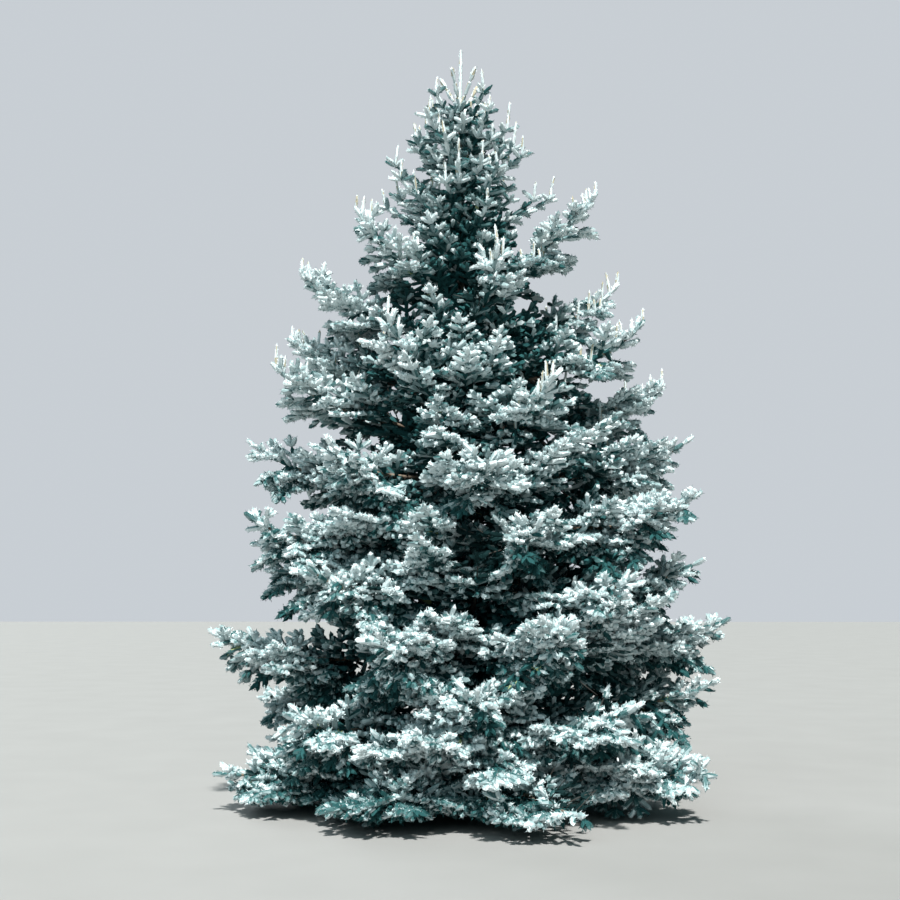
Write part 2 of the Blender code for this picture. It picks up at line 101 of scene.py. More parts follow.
BARE_SHARE_PER_REACH = 0.125
BOUGH_RADIUS_PER_REACH = 0.0135
BOUGH_LEAST_RADIUS = 0.011
BOUGH_TIP_RADIUS = 0.006
BOUGH_TAPER = 0.8
ROOT_STAGGER = 0.04
HANDLE_SHARE = 0.36

BRANCH_SPACING = 0.080
FEWEST_BRANCHES = 14
BRANCH_PLACE = (0.2, 0.8)  # of the room that each has along the stem
BRANCH_LEAST = 0.26
BRANCH_LEAST_TAPER = 0.4
BRANCH_SHARE = 0.40
SWELL_START, SWELL_RISE, SWELL_FALL = 0.45, 2.2, 0.75  # how the fan widens and narrows again
SPREAD_ANGLE = 54
SPREAD_JITTER = 9
LEAST_DROOP, MOST_DROOP = -18, 46
LENGTH_JITTER = 0.16
FAN_START, FAN_END = 0.05, 0.93
UPRIGHT_RISE = 1.0
UPRIGHT_LENGTH = 0.36
UPRIGHT_SHIFT = 0.04
UPRIGHT_UNEVEN = (0.6, 1.0)

WHORL_STAGGER = 0.022
WHORL_TOP = 5.60  # where the leader of this year starts
LEADER_WHORL = 9
TOP_YEAR = 0.128
TOP_THICK = 0.90
STAR_SHOOTS = 4  # round each branch end
STAR_LENGTHS = (0.09, 0.125)
STAR_THICK = 0.95
TOP_DARKER = 0.34  # the share of the top's shoots that are two steps darker, at random, as painted shade between them
TOP_STEM_RADIUS = 0.024
TOP_STEM_TIP = 0.0035
TOP_STEM_STEPS, TOP_STEM_SIDES = 14, 8
STEM_OVERLAP, STEM_SHORT = 0.05, 0.02  # below the trunk's top, and below the tree's
TOP_STEM_SHOOTS = 9
LEADER_TOP = TREE_HEIGHT + 0.035
LEADER_SHOOTS = 8
LEADER_OVERLAP = 0.45  # of a shoot, with the one below it
LEADER_THINNER = 0.045  # each than the one below it
LEADER_WHORL_LENGTHS = (0.14, 0.19)
# A whorl's run is the share of its reach that one twig covers, below the star at its end
Whorl = namedtuple("Whorl", "height branches reach rise phase run")
TOP_WHORLS = (
    Whorl(4.40, 5, 0.82, 0.56, 8, 0.76),
    Whorl(4.68, 5, 0.62, 0.50, 48, 0.84),
    Whorl(4.96, 5, 0.45, 0.46, 16, 0.92),
    Whorl(5.26, 4, 0.28, 0.40, 55, 0.96),
    Whorl(5.55, 5, 0.17, 0.31, 30, 1.0),
)
# Short branches between the whorls: their number, heights, rise in degrees, and lengths by height
BETWEEN = 40
BETWEEN_LOWEST, BETWEEN_HIGHEST = 4.42, 5.52
BETWEEN_RISE = 24
BETWEEN_JITTER = (-12, 14)
BETWEEN_UNEVEN = (0.7, 1.05)
BETWEEN_LENGTHS = ((4.42, 0.56), (4.9, 0.46), (5.2, 0.40), (5.36, 0.27), (5.52, 0.15))
# The candles of the photo's top, each on a branch of its own: its foot and its length
TOP_CANDLES = (
    ((-0.25, 0.00, 5.56), 0.24), ((-0.33, 0.10, 5.36), 0.25), ((-0.42, -0.10, 5.29), 0.17),
    ((0.34, 0.00, 5.41), 0.24), ((0.14, -0.12, 5.42), 0.20), ((0.39, -0.10, 5.20), 0.24),
    ((-0.03, -0.40, 4.95), 0.24), ((0.13, -0.38, 5.00), 0.18), ((0.21, -0.20, 5.29), 0.14),
    ((-0.56, 0.00, 4.88), 0.21), ((-0.69, 0.05, 4.77), 0.17), ((0.71, 0.00, 4.79), 0.21),
    ((0.16, -0.50, 4.61), 0.13), ((-0.18, -0.40, 4.85), 0.17),
)
CANDLE_BRANCH_RISE = 0.5  # of how far the foot stands from the trunk
SHORT_TOP = 5.2  # above here the top's branches branch once less
CANDLE_WHORL = 5.5  # above here a whorl's branches are candles

# The finer twigs
YEAR = 0.102  # the growth of one year, which one shoot of needles covers
LATERAL_SHARE = 0.58  # of what is left of a twig beyond a node, what the twigs at the node reach
LATERAL_LEAST = 0.035
SHORTEST_SHOOT = 0.075
LATERAL_ANGLE = 45
LATERAL_JITTER = 7
LATERAL_UNEVEN = (0.85, 1.12)
DEEPEST_ORDER = 4  # of twigs, where a bough's side branch is the first
RAISED_ASIDE, HANGING_ASIDE = 0.45, 0.5  # of a raised or hanging twig's direction, how much is sideways
LIFTED_SHARE = 0.72  # of a level twig's length, that of a raised or hanging one
WANDER, WANDER_UP = 0.07, 0.05  # how far a twig's heading may change from year to year
TWIG_TIP_RADIUS, TWIG_YEAR_RADIUS = 0.0022, 0.0016
STEEP = 0.2  # a heading whose level part is less than this is taken as upright
RAISED_CHANCE = 0.34
HANGING_CHANCE = 0.22
UPRIGHT_EVERY = 4
TIP_TWIGS = 8
CURTAIN_TIERS = 5  # the lowest tiers, whose boughs have hanging twigs under their outer part
CURTAIN_TWIGS = 12
CURTAIN_MORE = 6  # in the second tier
CURTAIN_LONG, CURTAIN_UNEVEN = 0.40, (0.5, 1.0)
CURTAIN_FROM, CURTAIN_RUN = 0.30, 0.66  # along the stem
CURTAIN_ASIDE, CURTAIN_END = 0.30, 1.15  # how far beside the stem, and where that ends
CURTAIN_FORWARD, CURTAIN_SIDEWAYS, CURTAIN_DOWN = (0.5, 1.1), 0.6, (0.45, 1.0)  # its heading
CURTAIN_SHADE_YEARS = 2  # how many years older its twigs count, so that they are darker: painted shade under the bough
MOUND_TWIGS = 5  # raised twigs on each bough of the lowest tier
MOUND_SHORT, MOUND_LONG = 0.24, 0.36
MOUND_FROM, MOUND_RUN = 0.04, 0.72
MOUND_ASIDE, MOUND_START = 0.35, 0.3
MOUND_FORWARD, MOUND_SIDEWAYS, MOUND_UP = (0.3, 1.0), 0.6, (0.6, 1.2)
# A twig between two side branches: how much further out it stands, its angles and its length
EXTRA_SHIFT, EXTRA_LAST = 0.03, 0.98
EXTRA_SPREAD, EXTRA_RAISED, EXTRA_HUNG = (28, 70), (18, 58), (15, 60)
EXTRA_SHARE, EXTRA_LONGEST = (0.5, 0.75), 0.42
# The hand at a bough's end: where its twigs start, their angles and their lengths
END_START, END_RUN = 0.70, 0.28
END_SPREAD, END_TILT = (18, 58), (-38, 34)
END_LENGTHS = (0.16, 0.34)
MOUND_ROOM = 0.20
# Masses whose side branches on one hand are shorter, beside a dark recess, or longer, across a wide gap
HAND_SHARES = {
    "foliage_01_2": (-1, 0.45),
    "foliage_01_3": (1, 1.12),
    "foliage_01_4": (-1, 1.15),
    "foliage_02_4": (1, 1.15),
}
CANDLE_TIERS = 7  # from this tier up, this year's shoots stand up as slim candles
CANDLE_THICK = 0.62
CANDLE_LEAN = 0.16
CANDLE_LENGTHS = (0.11, 0.19)
CANDLE_OUT = 0.55  # of a bough's reach, where they start
OLDEST_CLAD = 6  # years after which a twig has lost its needles
LOWEST_NEEDLE = 0.035
LOWEST_FACE = 0.004
BRIGHT_RIM = 0.65  # within this share of a bough's reach, hanging twigs count a year older and so are darker, as painted shade under the bough
EDGE = 0.80  # beyond this share of a bough's reach its twigs stay below its tip
TOP_ROOM = 0.05
EDGE_LEAST = 0.84
# Small branches on the trunk between the boughs
INNER_SPACING = 0.043
INNER_YEAR = 0.160
INNER_LOWEST, INNER_HIGHEST = 0.45, 4.50
INNER_LENGTHS = ((0.45, 0.80), (1.8, 0.96), (2.6, 1.00), (3.2, 0.84), (3.9, 0.66), (4.5, 0.46))
INNER_THICK = 1.30
INNER_HIGH = 3.0  # above here its shoots are as fine as the boughs'
INNER_RISES = ((0.45, 8), (3.0, 22), (4.3, 42), (5.5, 55))  # degrees, by height
INNER_JITTER = 16
ROOT_DEPTH = 0.8  # of the trunk's radius, where they start
INNER_UNEVEN = (0.65, 1.3)
# Boughs in the gaps between those of the CAD source: azimuth, reach, height of root and tip
GAP_BOUGHS = (
    (248, 1.34, 2.78, 3.04), (260, 1.42, 2.50, 2.76), (281, 1.22, 2.96, 3.28), (308, 1.48, 2.36, 2.68),
    (299, 1.50, 2.14, 2.42), (250, 1.62, 1.76, 1.96), (270, 1.62, 1.34, 1.54), (260, 1.62, 1.18, 1.34),
    (321, 1.80, 0.98, 1.14), (236, 1.62, 1.92, 2.10), (262, 1.92, 0.60, 0.66), (283, 1.97, 0.70, 0.42),
    (270, 1.68, 1.02, 1.18), (292, 1.66, 1.86, 2.08), (236, 1.70, 1.06, 1.24), (269, 1.66, 1.16, 1.30),
    (244, 1.90, 0.44, 0.50), (254, 1.93, 0.42, 0.46), (318, 1.90, 0.98, 1.22), (299, 2.00, 0.72, 0.46),
    (323, 1.92, 0.92, 1.10), (245, 1.70, 1.60, 1.84), (314, 1.82, 0.94, 1.12), (266, 1.26, 2.94, 3.24),
    (328, 1.92, 1.10, 1.26), (270, 1.10, 3.04, 3.40), (290, 1.18, 2.80, 3.14), (258, 1.36, 2.62, 2.90),
    (316, 1.52, 2.46, 2.84), (251, 0.88, 3.44, 3.86), (272, 1.08, 3.16, 3.52), (293, 1.12, 3.00, 3.38),
    (85, 1.66, 0.50, 0.40), (5, 1.70, 0.50, 0.50), (162, 1.68, 0.50, 0.42), (39, 1.66, 0.86, 0.84),
    (122, 1.66, 0.86, 0.86), (60, 1.64, 1.28, 1.36), (152, 1.60, 1.28, 1.36), (110, 1.60, 1.70, 1.86),
    (84, 1.55, 2.08, 2.28), (45, 1.50, 2.44, 2.74), (132, 1.45, 2.44, 2.74), (63, 1.34, 2.80, 3.18),
    (154, 1.28, 2.80, 3.18), (112, 1.12, 3.20, 3.64), (30, 1.16, 3.10, 3.56), (93, 0.96, 3.50, 4.06),
)
GAP_ORDER = 2  # so that they branch once less than a side branch
# Dark hollows that the photo shows, each a ball: its middle and radius. Most shoots in a hollow are
# left out, and the rest are painted near-black as painted shade
HOLLOWS = (
    (0.00, -0.82, 3.76, 0.20), (-0.02, -0.66, 4.04, 0.19),
    (0.68, -1.74, 0.38, 0.20), (0.70, -1.50, 0.34, 0.22), (0.60, -1.86, 0.42, 0.15),
    (0.62, -1.62, 0.44, 0.15), (0.62, -1.36, 0.44, 0.18),
    (0.91, -1.45, 0.92, 0.17), (0.85, -1.16, 0.92, 0.22),
    (0.08, -1.46, 1.86, 0.22), (0.06, -1.22, 1.92, 0.22),
    (1.02, -1.42, 1.08, 0.19), (0.95, -1.18, 1.10, 0.20),
    (-0.70, -1.40, 1.60, 0.15),
)
HOLLOW_CLEARED = 0.72  # the share of the shoots in a hollow that is left out
# Painted shade under a bough: from how far below it to how far, how uneven that is, and over what
# distance
UNDER_FROM, UNDER_TO = 0.04, 0.30
UNDER_UNEVEN, UNDER_PATCH = 0.16, 0.24
UNDER_STEPS = 3
UNDER_CHANCE = (0.5, 1.4)
LINE_STEPS = 20
# The boughs of the lowest tier lie in the shade of the next: how much deeper, and between what
# shares of their reach that ends
SKIRT_SHADE = 0.26
SKIRT_RANGE = (0.78, 0.92)
SKIRT_RANGES = {"foliage_01_1": (0.20, 0.40), "foliage_01_3": (1.0, 1.2)}
# How strong the shade is, on the low tiers, the high ones and some masses
SHADE_LOW, SHADE_HIGH = 0.85, 0.6
SHADE_STRENGTHS = {"foliage_04_3": 0.4, "foliage_05_3": 0.5}

# Needles
FRONT_SHORTER = 0.15  # how much less the crown reaches to the front
# Between these heights there is more and more light and sky, so the shoots count as further out
OPEN_FROM, OPEN_TO, OPEN_MOST = 3.4, 4.8, 0.45
OPEN_LESS_DIM, OPEN_MORE_DETAIL = 0.45, 0.55
# Plain base colours, dealt out shoot by shoot
NEEDLE_COLOURS = {
    "needles_silver": (0.73, 0.80, 0.81),
    "needles_pale": (0.61, 0.69, 0.70),
    "needles_blue": (0.27, 0.37, 0.38),
    "needles_teal": (0.058, 0.132, 0.135),
    "needles_deep": (0.020, 0.075, 0.077),
    "needles_olive": (0.24, 0.28, 0.13),
    "needles_tan": (0.42, 0.38, 0.28),
    # painted shade for the shoots left in the hollows, not a colour of needles
    "needles_painted_shade": (0.007, 0.022, 0.023),
}
SILVER, PALE, BLUE, TEAL, DEEP, OLIVE, TAN, DARK = range(8)
NEEDLE_SHEEN, DULL_SHEEN = 0.20, 0.03
DULL_BELOW = 0.10  # needles darker than this are dull
NEEDLE_LENGTH = 0.0195
NEEDLE_LEAN, TIP_LEAN, LEAN_JITTER = 56, 22, 8  # degrees from the twig, how much less at its tip
TIP_START = 0.76  # of a shoot's length, from where its needles lean forward
TIP_CURVE = 1.3
NEEDLE_RISE = 0.16
TURN_JITTER = 0.25
COUNT_RANGE = (0.6, 1.5)  # the least and most needles of a short or long shoot, against a year's
UNEVEN_LEAST, UNEVEN_MORE = 0.82, 0.36  # of cores and needles
UNDERSIDE = -0.35  # needles that point down more than this are a step darker, as painted shade
GOLDEN_TURN = math.pi * (3 - math.sqrt(5))
CORE_RADII = (0.0216, 0.0224, 0.0230, 0.0228, 0.0210)  # by age
CORE_RINGS = ((0.0, 0.55), (0.42, 1.0), (0.90, 0.76), (1.06, 0.0))  # share of length, of radius
PLAIN_RINGS = ((0.0, 0.75), (0.84, 0.94), (1.05, 0.0))
EDGE_RINGS = ((0.0, 0.62), (0.66, 0.80), (1.06, 0.0))
# Painted shade on the cores: a face that looks up has its shoot's colour, one that looks down is mostly
# two steps darker
SHADE_CHANCE, SHADE_BY_SLOPE, SHADE_START = 1.6, 1.5, 0.40
BASE_SHADE = 0.55  # chance that a face at the foot of a core is a step darker, as painted shade
# Shoots within a share of the crown's radius are at least this dark, by chance: painted shade of the
# crown's inside, and partly the darker colour of older needles
DIM_INSIDE = ((0.64, BLUE, 0.6), (0.55, TEAL, 0.75), (0.44, DEEP, 0.80))
# The detail of a shoot: least share of the crown's radius, most age, needles, their width, and the
# core's sides and rings. The first kind is for light shoots only.
DETAIL = (
    (0.74, 1, 13, 0.0090, 5, CORE_RINGS),
    (0.76, 9, 8, 0.0084, 4, EDGE_RINGS),
    (0.60, 9, 3, 0.0100, 4, PLAIN_RINGS),
    (0.0, 9, 1, 0.0110, 3, PLAIN_RINGS),
)
# Within a share of the crown's radius and below a height, this share of the shoots is left out
THIN_WITHIN, THIN_HIGHEST, THINNED = 0.50, 3.3, 0.66
NEEDLE_ROLL = 1.25  # radians, how far needles turn about their own line
# The crown's radius by height
CROWN = (
    (0.0, 2.0), (1.3, 2.0), (2.3, 1.85), (3.0, 1.70), (3.7, 1.45),
    (4.2, 1.25), (4.75, 0.95), (5.2, 0.55), (5.6, 0.35), (6.1, 0.10),
)

CANDLE = 8  # silver needles on a core of which some is bare tan bark
# The colours of a core's faces where they are mixed, and their chances
MIXED_CORES = {
    CANDLE: ((SILVER, PALE, TAN), (0.34, 0.42, 0.24)),
    OLIVE: ((OLIVE, TEAL, DEEP), (0.34, 0.34, 0.32)),
    TAN: ((TAN, OLIVE, DEEP), (0.30, 0.20, 0.50)),
}
MIXED_NEEDLES = 0.30  # of the needles of a shoot are a step darker
# Chances of each colour by age, from this year's shoots inward
COLOUR_CHANCES = (
    (0.78, 0.19, 0.03, 0, 0, 0, 0),
    (0.42, 0.36, 0.17, 0.05, 0, 0, 0),
    (0.06, 0.22, 0.34, 0.30, 0.07, 0.01, 0),
    (0, 0.04, 0.18, 0.40, 0.34, 0.04, 0),
    (0, 0, 0.06, 0.30, 0.54, 0.08, 0.02),
)

# How twigs grow. rise: how they turn up. raised, hanging, candles: chances. flat: how far laterals
# keep their slope. spread: their length. reach and top: where the crown's edge is.
Habit = namedtuple(
    "Habit", "year rise raised hanging tilt flat spread candles candle_out reach top")
Mass = namedtuple("Mass", "name limb_name tier seed line bare fan_length radius")
NO_EDGE = (3, 9)  # a reach and a top that nothing comes near
INNER_HABIT = Habit(INNER_YEAR, 0.02, 0.35, 0.15, (-0.30, 0.24), 0.9, 1, 0, 0, *NO_EDGE)
GAP_HABIT = Habit(YEAR, 0.01, 0.20, 0.14, (-0.48, 0.10), 0.9, 0.80, 0, 0, *NO_EDGE)
TOP_HABIT = Habit(TOP_YEAR, 0.0, 0.30, 0.10, (-0.34, 0.16), 0.36, 0.80, 0.30, 0.15, *NO_EDGE)
MASS_SEED, SHADE_SEED, INNER_SEED, GAP_SEED, TOP_SEED = 5000, 6000, 4242, 4343, 7777


# The rule of the CAD source
def trunk_axis(height):
    share = height / TREE_HEIGHT
    sweep = SWEEP * math.sin(math.tau * share)
    return Vector((LEAN_X * share + sweep, LEAN_Y * share - SWEEP_ASIDE * sweep, height))


def trunk_radius(height):
    share = max(0.0, 1 - height / TRUNK_TOP)
    return TRUNK_TOP_RADIUS + (TRUNK_BASE_RADIUS - TRUNK_TOP_RADIUS) * share**TAPER_POWER


def bezier(points, share):
    a, b, c, d = points
    rest = 1 - share
    return a * rest**3 + b * 3 * rest**2 * share + c * 3 * rest * share**2 + d * share**3


def bough_line(tier, bough, number):
    turn = math.radians(bough.azimuth)
    outward = Vector((math.cos(turn), math.sin(turn), 0))
    root = trunk_axis(tier.root_height + (ROOT_STAGGER if number % 2 else -ROOT_STAGGER))
    tip = outward * bough.reach + Vector((0, 0, bough.tip_height))
    handle = HANDLE_SHARE * bough.reach
    start, end = math.radians(tier.start_angle), math.radians(tier.tip_angle)
    first = root + handle * (outward * math.cos(start) + Vector((0, 0, math.sin(start))))
    last = tip - handle * (outward * math.cos(end) + Vector((0, 0, math.sin(end))))
    return root, first, last, tip


def all_masses():
    masses = []
    for level, tier in enumerate(TIERS, 1):
        for number, bough in enumerate(tier.boughs, 1):
            label = f"{level:02d}_{number}"
            bare = BARE_SHARE_PER_REACH * bough.reach
            masses.append(Mass(
                name="foliage_" + label,
                limb_name="bough_" + label if tier.has_limbs else None,
                tier=level,
                seed=100 * level + number,
                line=bough_line(tier, bough, number),
                bare=bare,
                fan_length=bough.reach * (1 - bare),
                radius=max(BOUGH_LEAST_RADIUS, BOUGH_RADIUS_PER_REACH * bough.reach)))
    return masses


def stem_point(mass, share):
    return bezier(mass.line, mass.bare + (1 - mass.bare) * share)


def stem_frame(mass, share):
    step = 0.01
    forward = (stem_point(mass, share + step) - stem_point(mass, share - step)).normalized()
    side = forward.cross(UP).normalized()
    return forward, side, side.cross(forward)


def side_branches(mass):
    rng = random.Random(mass.seed)
    count = max(FEWEST_BRANCHES, round(mass.fan_length / BRANCH_SPACING))
    branches = []
    for i in range(count):
        share = FAN_START + (FAN_END - FAN_START) * (i + rng.uniform(*BRANCH_PLACE)) / count
        hand = 1 if i % 2 else -1
        spread = math.radians(SPREAD_ANGLE + rng.uniform(-SPREAD_JITTER, SPREAD_JITTER))
        droop = math.radians(rng.uniform(LEAST_DROOP, MOST_DROOP))
        swell = min(1.0, SWELL_START + SWELL_RISE * share) * (1 - share) ** SWELL_FALL
        jitter = 1 + rng.uniform(-LENGTH_JITTER, LENGTH_JITTER)
        least = BRANCH_LEAST * (1 - BRANCH_LEAST_TAPER * share)
        length = least + BRANCH_SHARE * mass.fan_length * swell * jitter
        forward, side, up = stem_frame(mass, share)
        direction = forward * math.cos(spread) + side * (hand * math.sin(spread))
        direction.z -= math.tan(droop)
        height = stem_point(mass, share).z - LOWEST_TIP
        direction.z = max(direction.z, -height / length)
        branches.append((share, hand, direction.normalized(), length))
    return branches


def wood_radius(mass, share):
    return BOUGH_TIP_RADIUS + (mass.radius - BOUGH_TIP_RADIUS) * (1 - share) ** BOUGH_TAPER


# Meshes from arrays
class Soup:
    """Vertices, triangles and each triangle's material, gathered from many small parts."""

    def __init__(self):
        self.points, self.faces, self.slots, self.count = [], [], [], 0

    def add(self, points, faces, slots):
        points = np.asarray(points, np.float32).reshape(-1, 3)
        faces = np.asarray(faces, np.int32).reshape(-1, 3)
        self.points.append(points)
        self.faces.append(faces + self.count)
        self.slots.append(np.broadcast_to(np.asarray(slots, np.int32), len(faces)))
        self.count += len(points)

    def make(self, name, materials, smooth=False):
        points, faces = np.concatenate(self.points), np.concatenate(self.faces)
        slots = np.concatenate(self.slots)
        mesh = bpy.data.meshes.new(name)
        mesh.vertices.add(len(points))
        mesh.vertices.foreach_set("co", points.ravel())
        mesh.loops.add(faces.size)
        mesh.loops.foreach_set("vertex_index", faces.ravel())
        mesh.polygons.add(len(faces))
        mesh.polygons.foreach_set("loop_start", np.arange(0, faces.size, 3, dtype=np.int32))
        mesh.polygons.foreach_set("material_index", slots)
        mesh.polygons.foreach_set("use_smooth", np.full(len(faces), smooth))
        mesh.update(calc_edges=True)
        mesh.validate()
        for material in materials:
            mesh.materials.append(material)
        made = bpy.data.objects.new(name, mesh)
        bpy.context.scene.collection.objects.link(made)
        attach(made, "root")
        return made


def ring_frames(points):
    """Two directions across each point of a path, turned as little as possible on the way."""
    frames = []
    across = None
    for i in range(len(points)):
        along = (points[min(i + 1, len(points) - 1)] - points[max(i - 1, 0)]).normalized()
        if across is None:
            across = along.cross(UP if abs(along.z) < 0.9 else Vector((1, 0, 0))).normalized()
        across = (across - along * across.dot(along)).normalized()
        frames.append((across, along.cross(across)))
    return frames


def add_tube(soup, points, radii, sides, relief=None):
    """A closed tube along points, with an apex at its far end.

    relief gives a share to widen each vertex by.
    """
    verts, faces = [], []
    for i, (u, v) in enumerate(ring_frames(points)):
        for k in range(sides):
            angle = math.tau * k / sides
            out = u * math.cos(angle) + v * math.sin(angle)
            wide = radii[i]
            if relief:
                wide *= 1 + relief(points[i] + out * wide)
            verts.append(points[i] + out * wide)
    last = len(points) - 1
    verts.append(points[last] + (points[last] - points[last - 1]).normalized() * radii[last])
    verts.append(points[0])
    for i in range(last):
        for k in range(sides):
            a, b = i * sides + k, i * sides + (k + 1) % sides
            faces.append((a, b, b + sides))
            faces.append((a, b + sides, a + sides))
    for k in range(sides):
        a, b = last * sides + k, last * sides + (k + 1) % sides
        faces.append((a, b, len(verts) - 2))
        faces.append((k, len(verts) - 1, (k + 1) % sides))
    soup.add([tuple(p) for p in verts], faces, 0)


# Growth
AGE, COLOUR, THICKNESS = 6, 7, 8  # after a shoot's start and its end


class Shoots:
    """The shoots of one piece, a row for each: its start, its end, age, colour and thickness."""

    def __init__(self, seed):
        self.rows = []
        self.seed = seed

    def add(self, start, end, age, colour, thickness=1.0):
        self.rows.append((*start, *end, age, colour, thickness))

    def thicken(self, by, first=None):
        """Thickens all shoots, or the first few."""
        thicker = [(*row[:THICKNESS], row[THICKNESS] * by) for row in self.rows[:first]]
        self.rows[:first] = thicker

    def darken(self, number, steps, darkest):
        """Makes one shoot some steps darker, but no darker than darkest."""
        row = self.rows[number]
        colour = min(row[COLOUR] + steps, darkest)
        self.rows[number] = (*row[:COLOUR], colour, row[THICKNESS])


def deal_colour(rng, age, direction):
    """A colour for a shoot by its age; one that hangs is often a step darker, as painted shade."""
    chances = COLOUR_CHANCES[min(age, len(COLOUR_CHANCES) - 1)]
    colour = rng.choices(range(len(chances)), chances)[0]
    if direction.z < -0.45 and colour < DEEP and rng.random() < 0.6:
        colour += 1
    return colour


def fits(point, habit):
    """True if the point is inside the crown's edge."""
    out = math.hypot(point.x, point.y)
    return out < habit.reach and (out < EDGE * habit.reach or point.z < habit.top)


def add_candle(start, rng, shoots):
    """A slim new shoot that stands up."""
    lean_x = rng.uniform(-CANDLE_LEAN, CANDLE_LEAN)
    lean_y = rng.uniform(-CANDLE_LEAN, CANDLE_LEAN)
    lean = Vector((lean_x, lean_y, 1)).normalized()
    shoots.add(start, start + lean * rng.uniform(*CANDLE_LENGTHS), 0, CANDLE, CANDLE_THICK)


# age_and_shade: years added to the age of the twig's shoots, which darkens their colours and changes
# their detail; on hanging twigs it is painted shade
def grow_twig(start, direction, length, rng, shoots, twigs, habit, order=1, age_and_shade=0):
    """One twig and all that grows on it, kept inside the crown's edge. Gives the place of its end."""
    if order == 1:
        habit = habit._replace(reach=habit.reach * rng.uniform(EDGE_LEAST, 1.0))
    while not fits(start + direction * length, habit):
        length *= 0.8
        if length < SHORTEST_SHOOT:
            return start
    years = max(1, round(length / habit.year))
    step = length / years
    point, heading = start, direction.copy()
    path, radii = [start], [TWIG_TIP_RADIUS + TWIG_YEAR_RADIUS * years]
    for year in range(years):
        age = years - 1 - year + age_and_shade
        wander_x = rng.uniform(-WANDER, WANDER)
        wander_y = rng.uniform(-WANDER, WANDER)
        wander_z = rng.uniform(-WANDER_UP, WANDER_UP) + habit.rise
        heading = heading + Vector((wander_x, wander_y, wander_z))
        heading.normalize()
        after = point + heading * step
        if after.z < LOWEST_NEEDLE:
            heading.z += (LOWEST_NEEDLE - after.z) / step
            heading.normalize()
            after = point + heading * step
        path.append(after)
        radii.append(TWIG_TIP_RADIUS + TWIG_YEAR_RADIUS * (years - 1 - year))
        if age < OLDEST_CLAD:
            shoots.add(point, after, age, deal_colour(rng, age, heading))
        if year < years - 1:
            left = length - step * (year + 1)
            across = heading.cross(UP)
            if across.length < STEEP:
                across = Vector((math.cos(order * 2.4), math.sin(order * 2.4), 0))
            across.normalize()
            above = across.cross(heading)
            hands = [(1, 0), (-1, 0)]
            if rng.random() < habit.raised:
                hands.append((rng.choice((-RAISED_ASIDE, RAISED_ASIDE)), 1))
            if rng.random() < habit.hanging:
                hands.append((rng.choice((-HANGING_ASIDE, HANGING_ASIDE)), -1))
            out = math.hypot(after.x, after.y)
            for hand, lift in hands:
                if lift > 0 and out > habit.candle_out and rng.random() < habit.candles:
                    add_candle(after, rng, shoots)
                    continue
                reach = max(SHORTEST_SHOOT, left * LATERAL_SHARE * habit.spread + LATERAL_LEAST)
                reach *= rng.uniform(*LATERAL_UNEVEN)
                if lift:
                    reach *= LIFTED_SHARE
                angle = math.radians(LATERAL_ANGLE + rng.uniform(-LATERAL_JITTER, LATERAL_JITTER))
                aside = across * hand + above * (lift + rng.uniform(*habit.tilt))
                turned = heading * math.cos(angle) + aside.normalized() * math.sin(angle)
                turned.z *= habit.flat
                turned.normalize()
                if order < DEEPEST_ORDER:
                    # Painted shade: a hanging twig within the bright rim counts a year older, which
                    # makes its colours darker
                    inside = out < BRIGHT_RIM * habit.reach
                    shaded = age_and_shade + (1 if lift < 0 and inside else 0)
                    reach = max(reach, SHORTEST_SHOOT)
                    grow_twig(after, turned, reach, rng, shoots, twigs, habit, order + 1, shaded)
        point = after
    if order == 1 or years + age_and_shade > OLDEST_CLAD:
        nodes = sorted({*range(0, years, 2), years})
        add_tube(twigs, [path[i] for i in nodes], [radii[i] for i in nodes], 3)
    return point


def shade_under(mass, shoots, first):
    """Paints shade on the shoots of a mass: makes them darker where they hang below its bough, in
    patches.
    """
    rng = random.Random(SHADE_SEED + mass.seed)
    line = [stem_point(mass, i / LINE_STEPS) for i in range(LINE_STEPS + 1)]
    line_out = [math.hypot(p.x, p.y) for p in line]
    line_height = [p.z for p in line]
    usual = SHADE_LOW if mass.tier <= CURTAIN_TIERS else SHADE_HIGH
    strength = SHADE_STRENGTHS.get(mass.name, usual)
    for i in range(first, len(shoots.rows)):
        row = shoots.rows[i]
        middle = (Vector(row[0:3]) + Vector(row[3:6])) / 2
        out = math.hypot(middle.x, middle.y)
        below = np.interp(out, line_out, line_height) - middle.z
        below += UNDER_UNEVEN * noise.noise(middle / UNDER_PATCH)
        if mass.tier == 1:
            shaded = SKIRT_RANGES.get(mass.name, SKIRT_RANGE)
            below += np.interp(out / line_out[-1], shaded, (SKIRT_SHADE, 0))
        depth = np.interp(below, (UNDER_FROM, UNDER_TO), (0, 1)) * strength
        steps = int(UNDER_STEPS * depth * rng.uniform(*UNDER_CHANCE))
        if steps and row[COLOUR] < DEEP:
            shoots.darken(i, steps, DEEP)


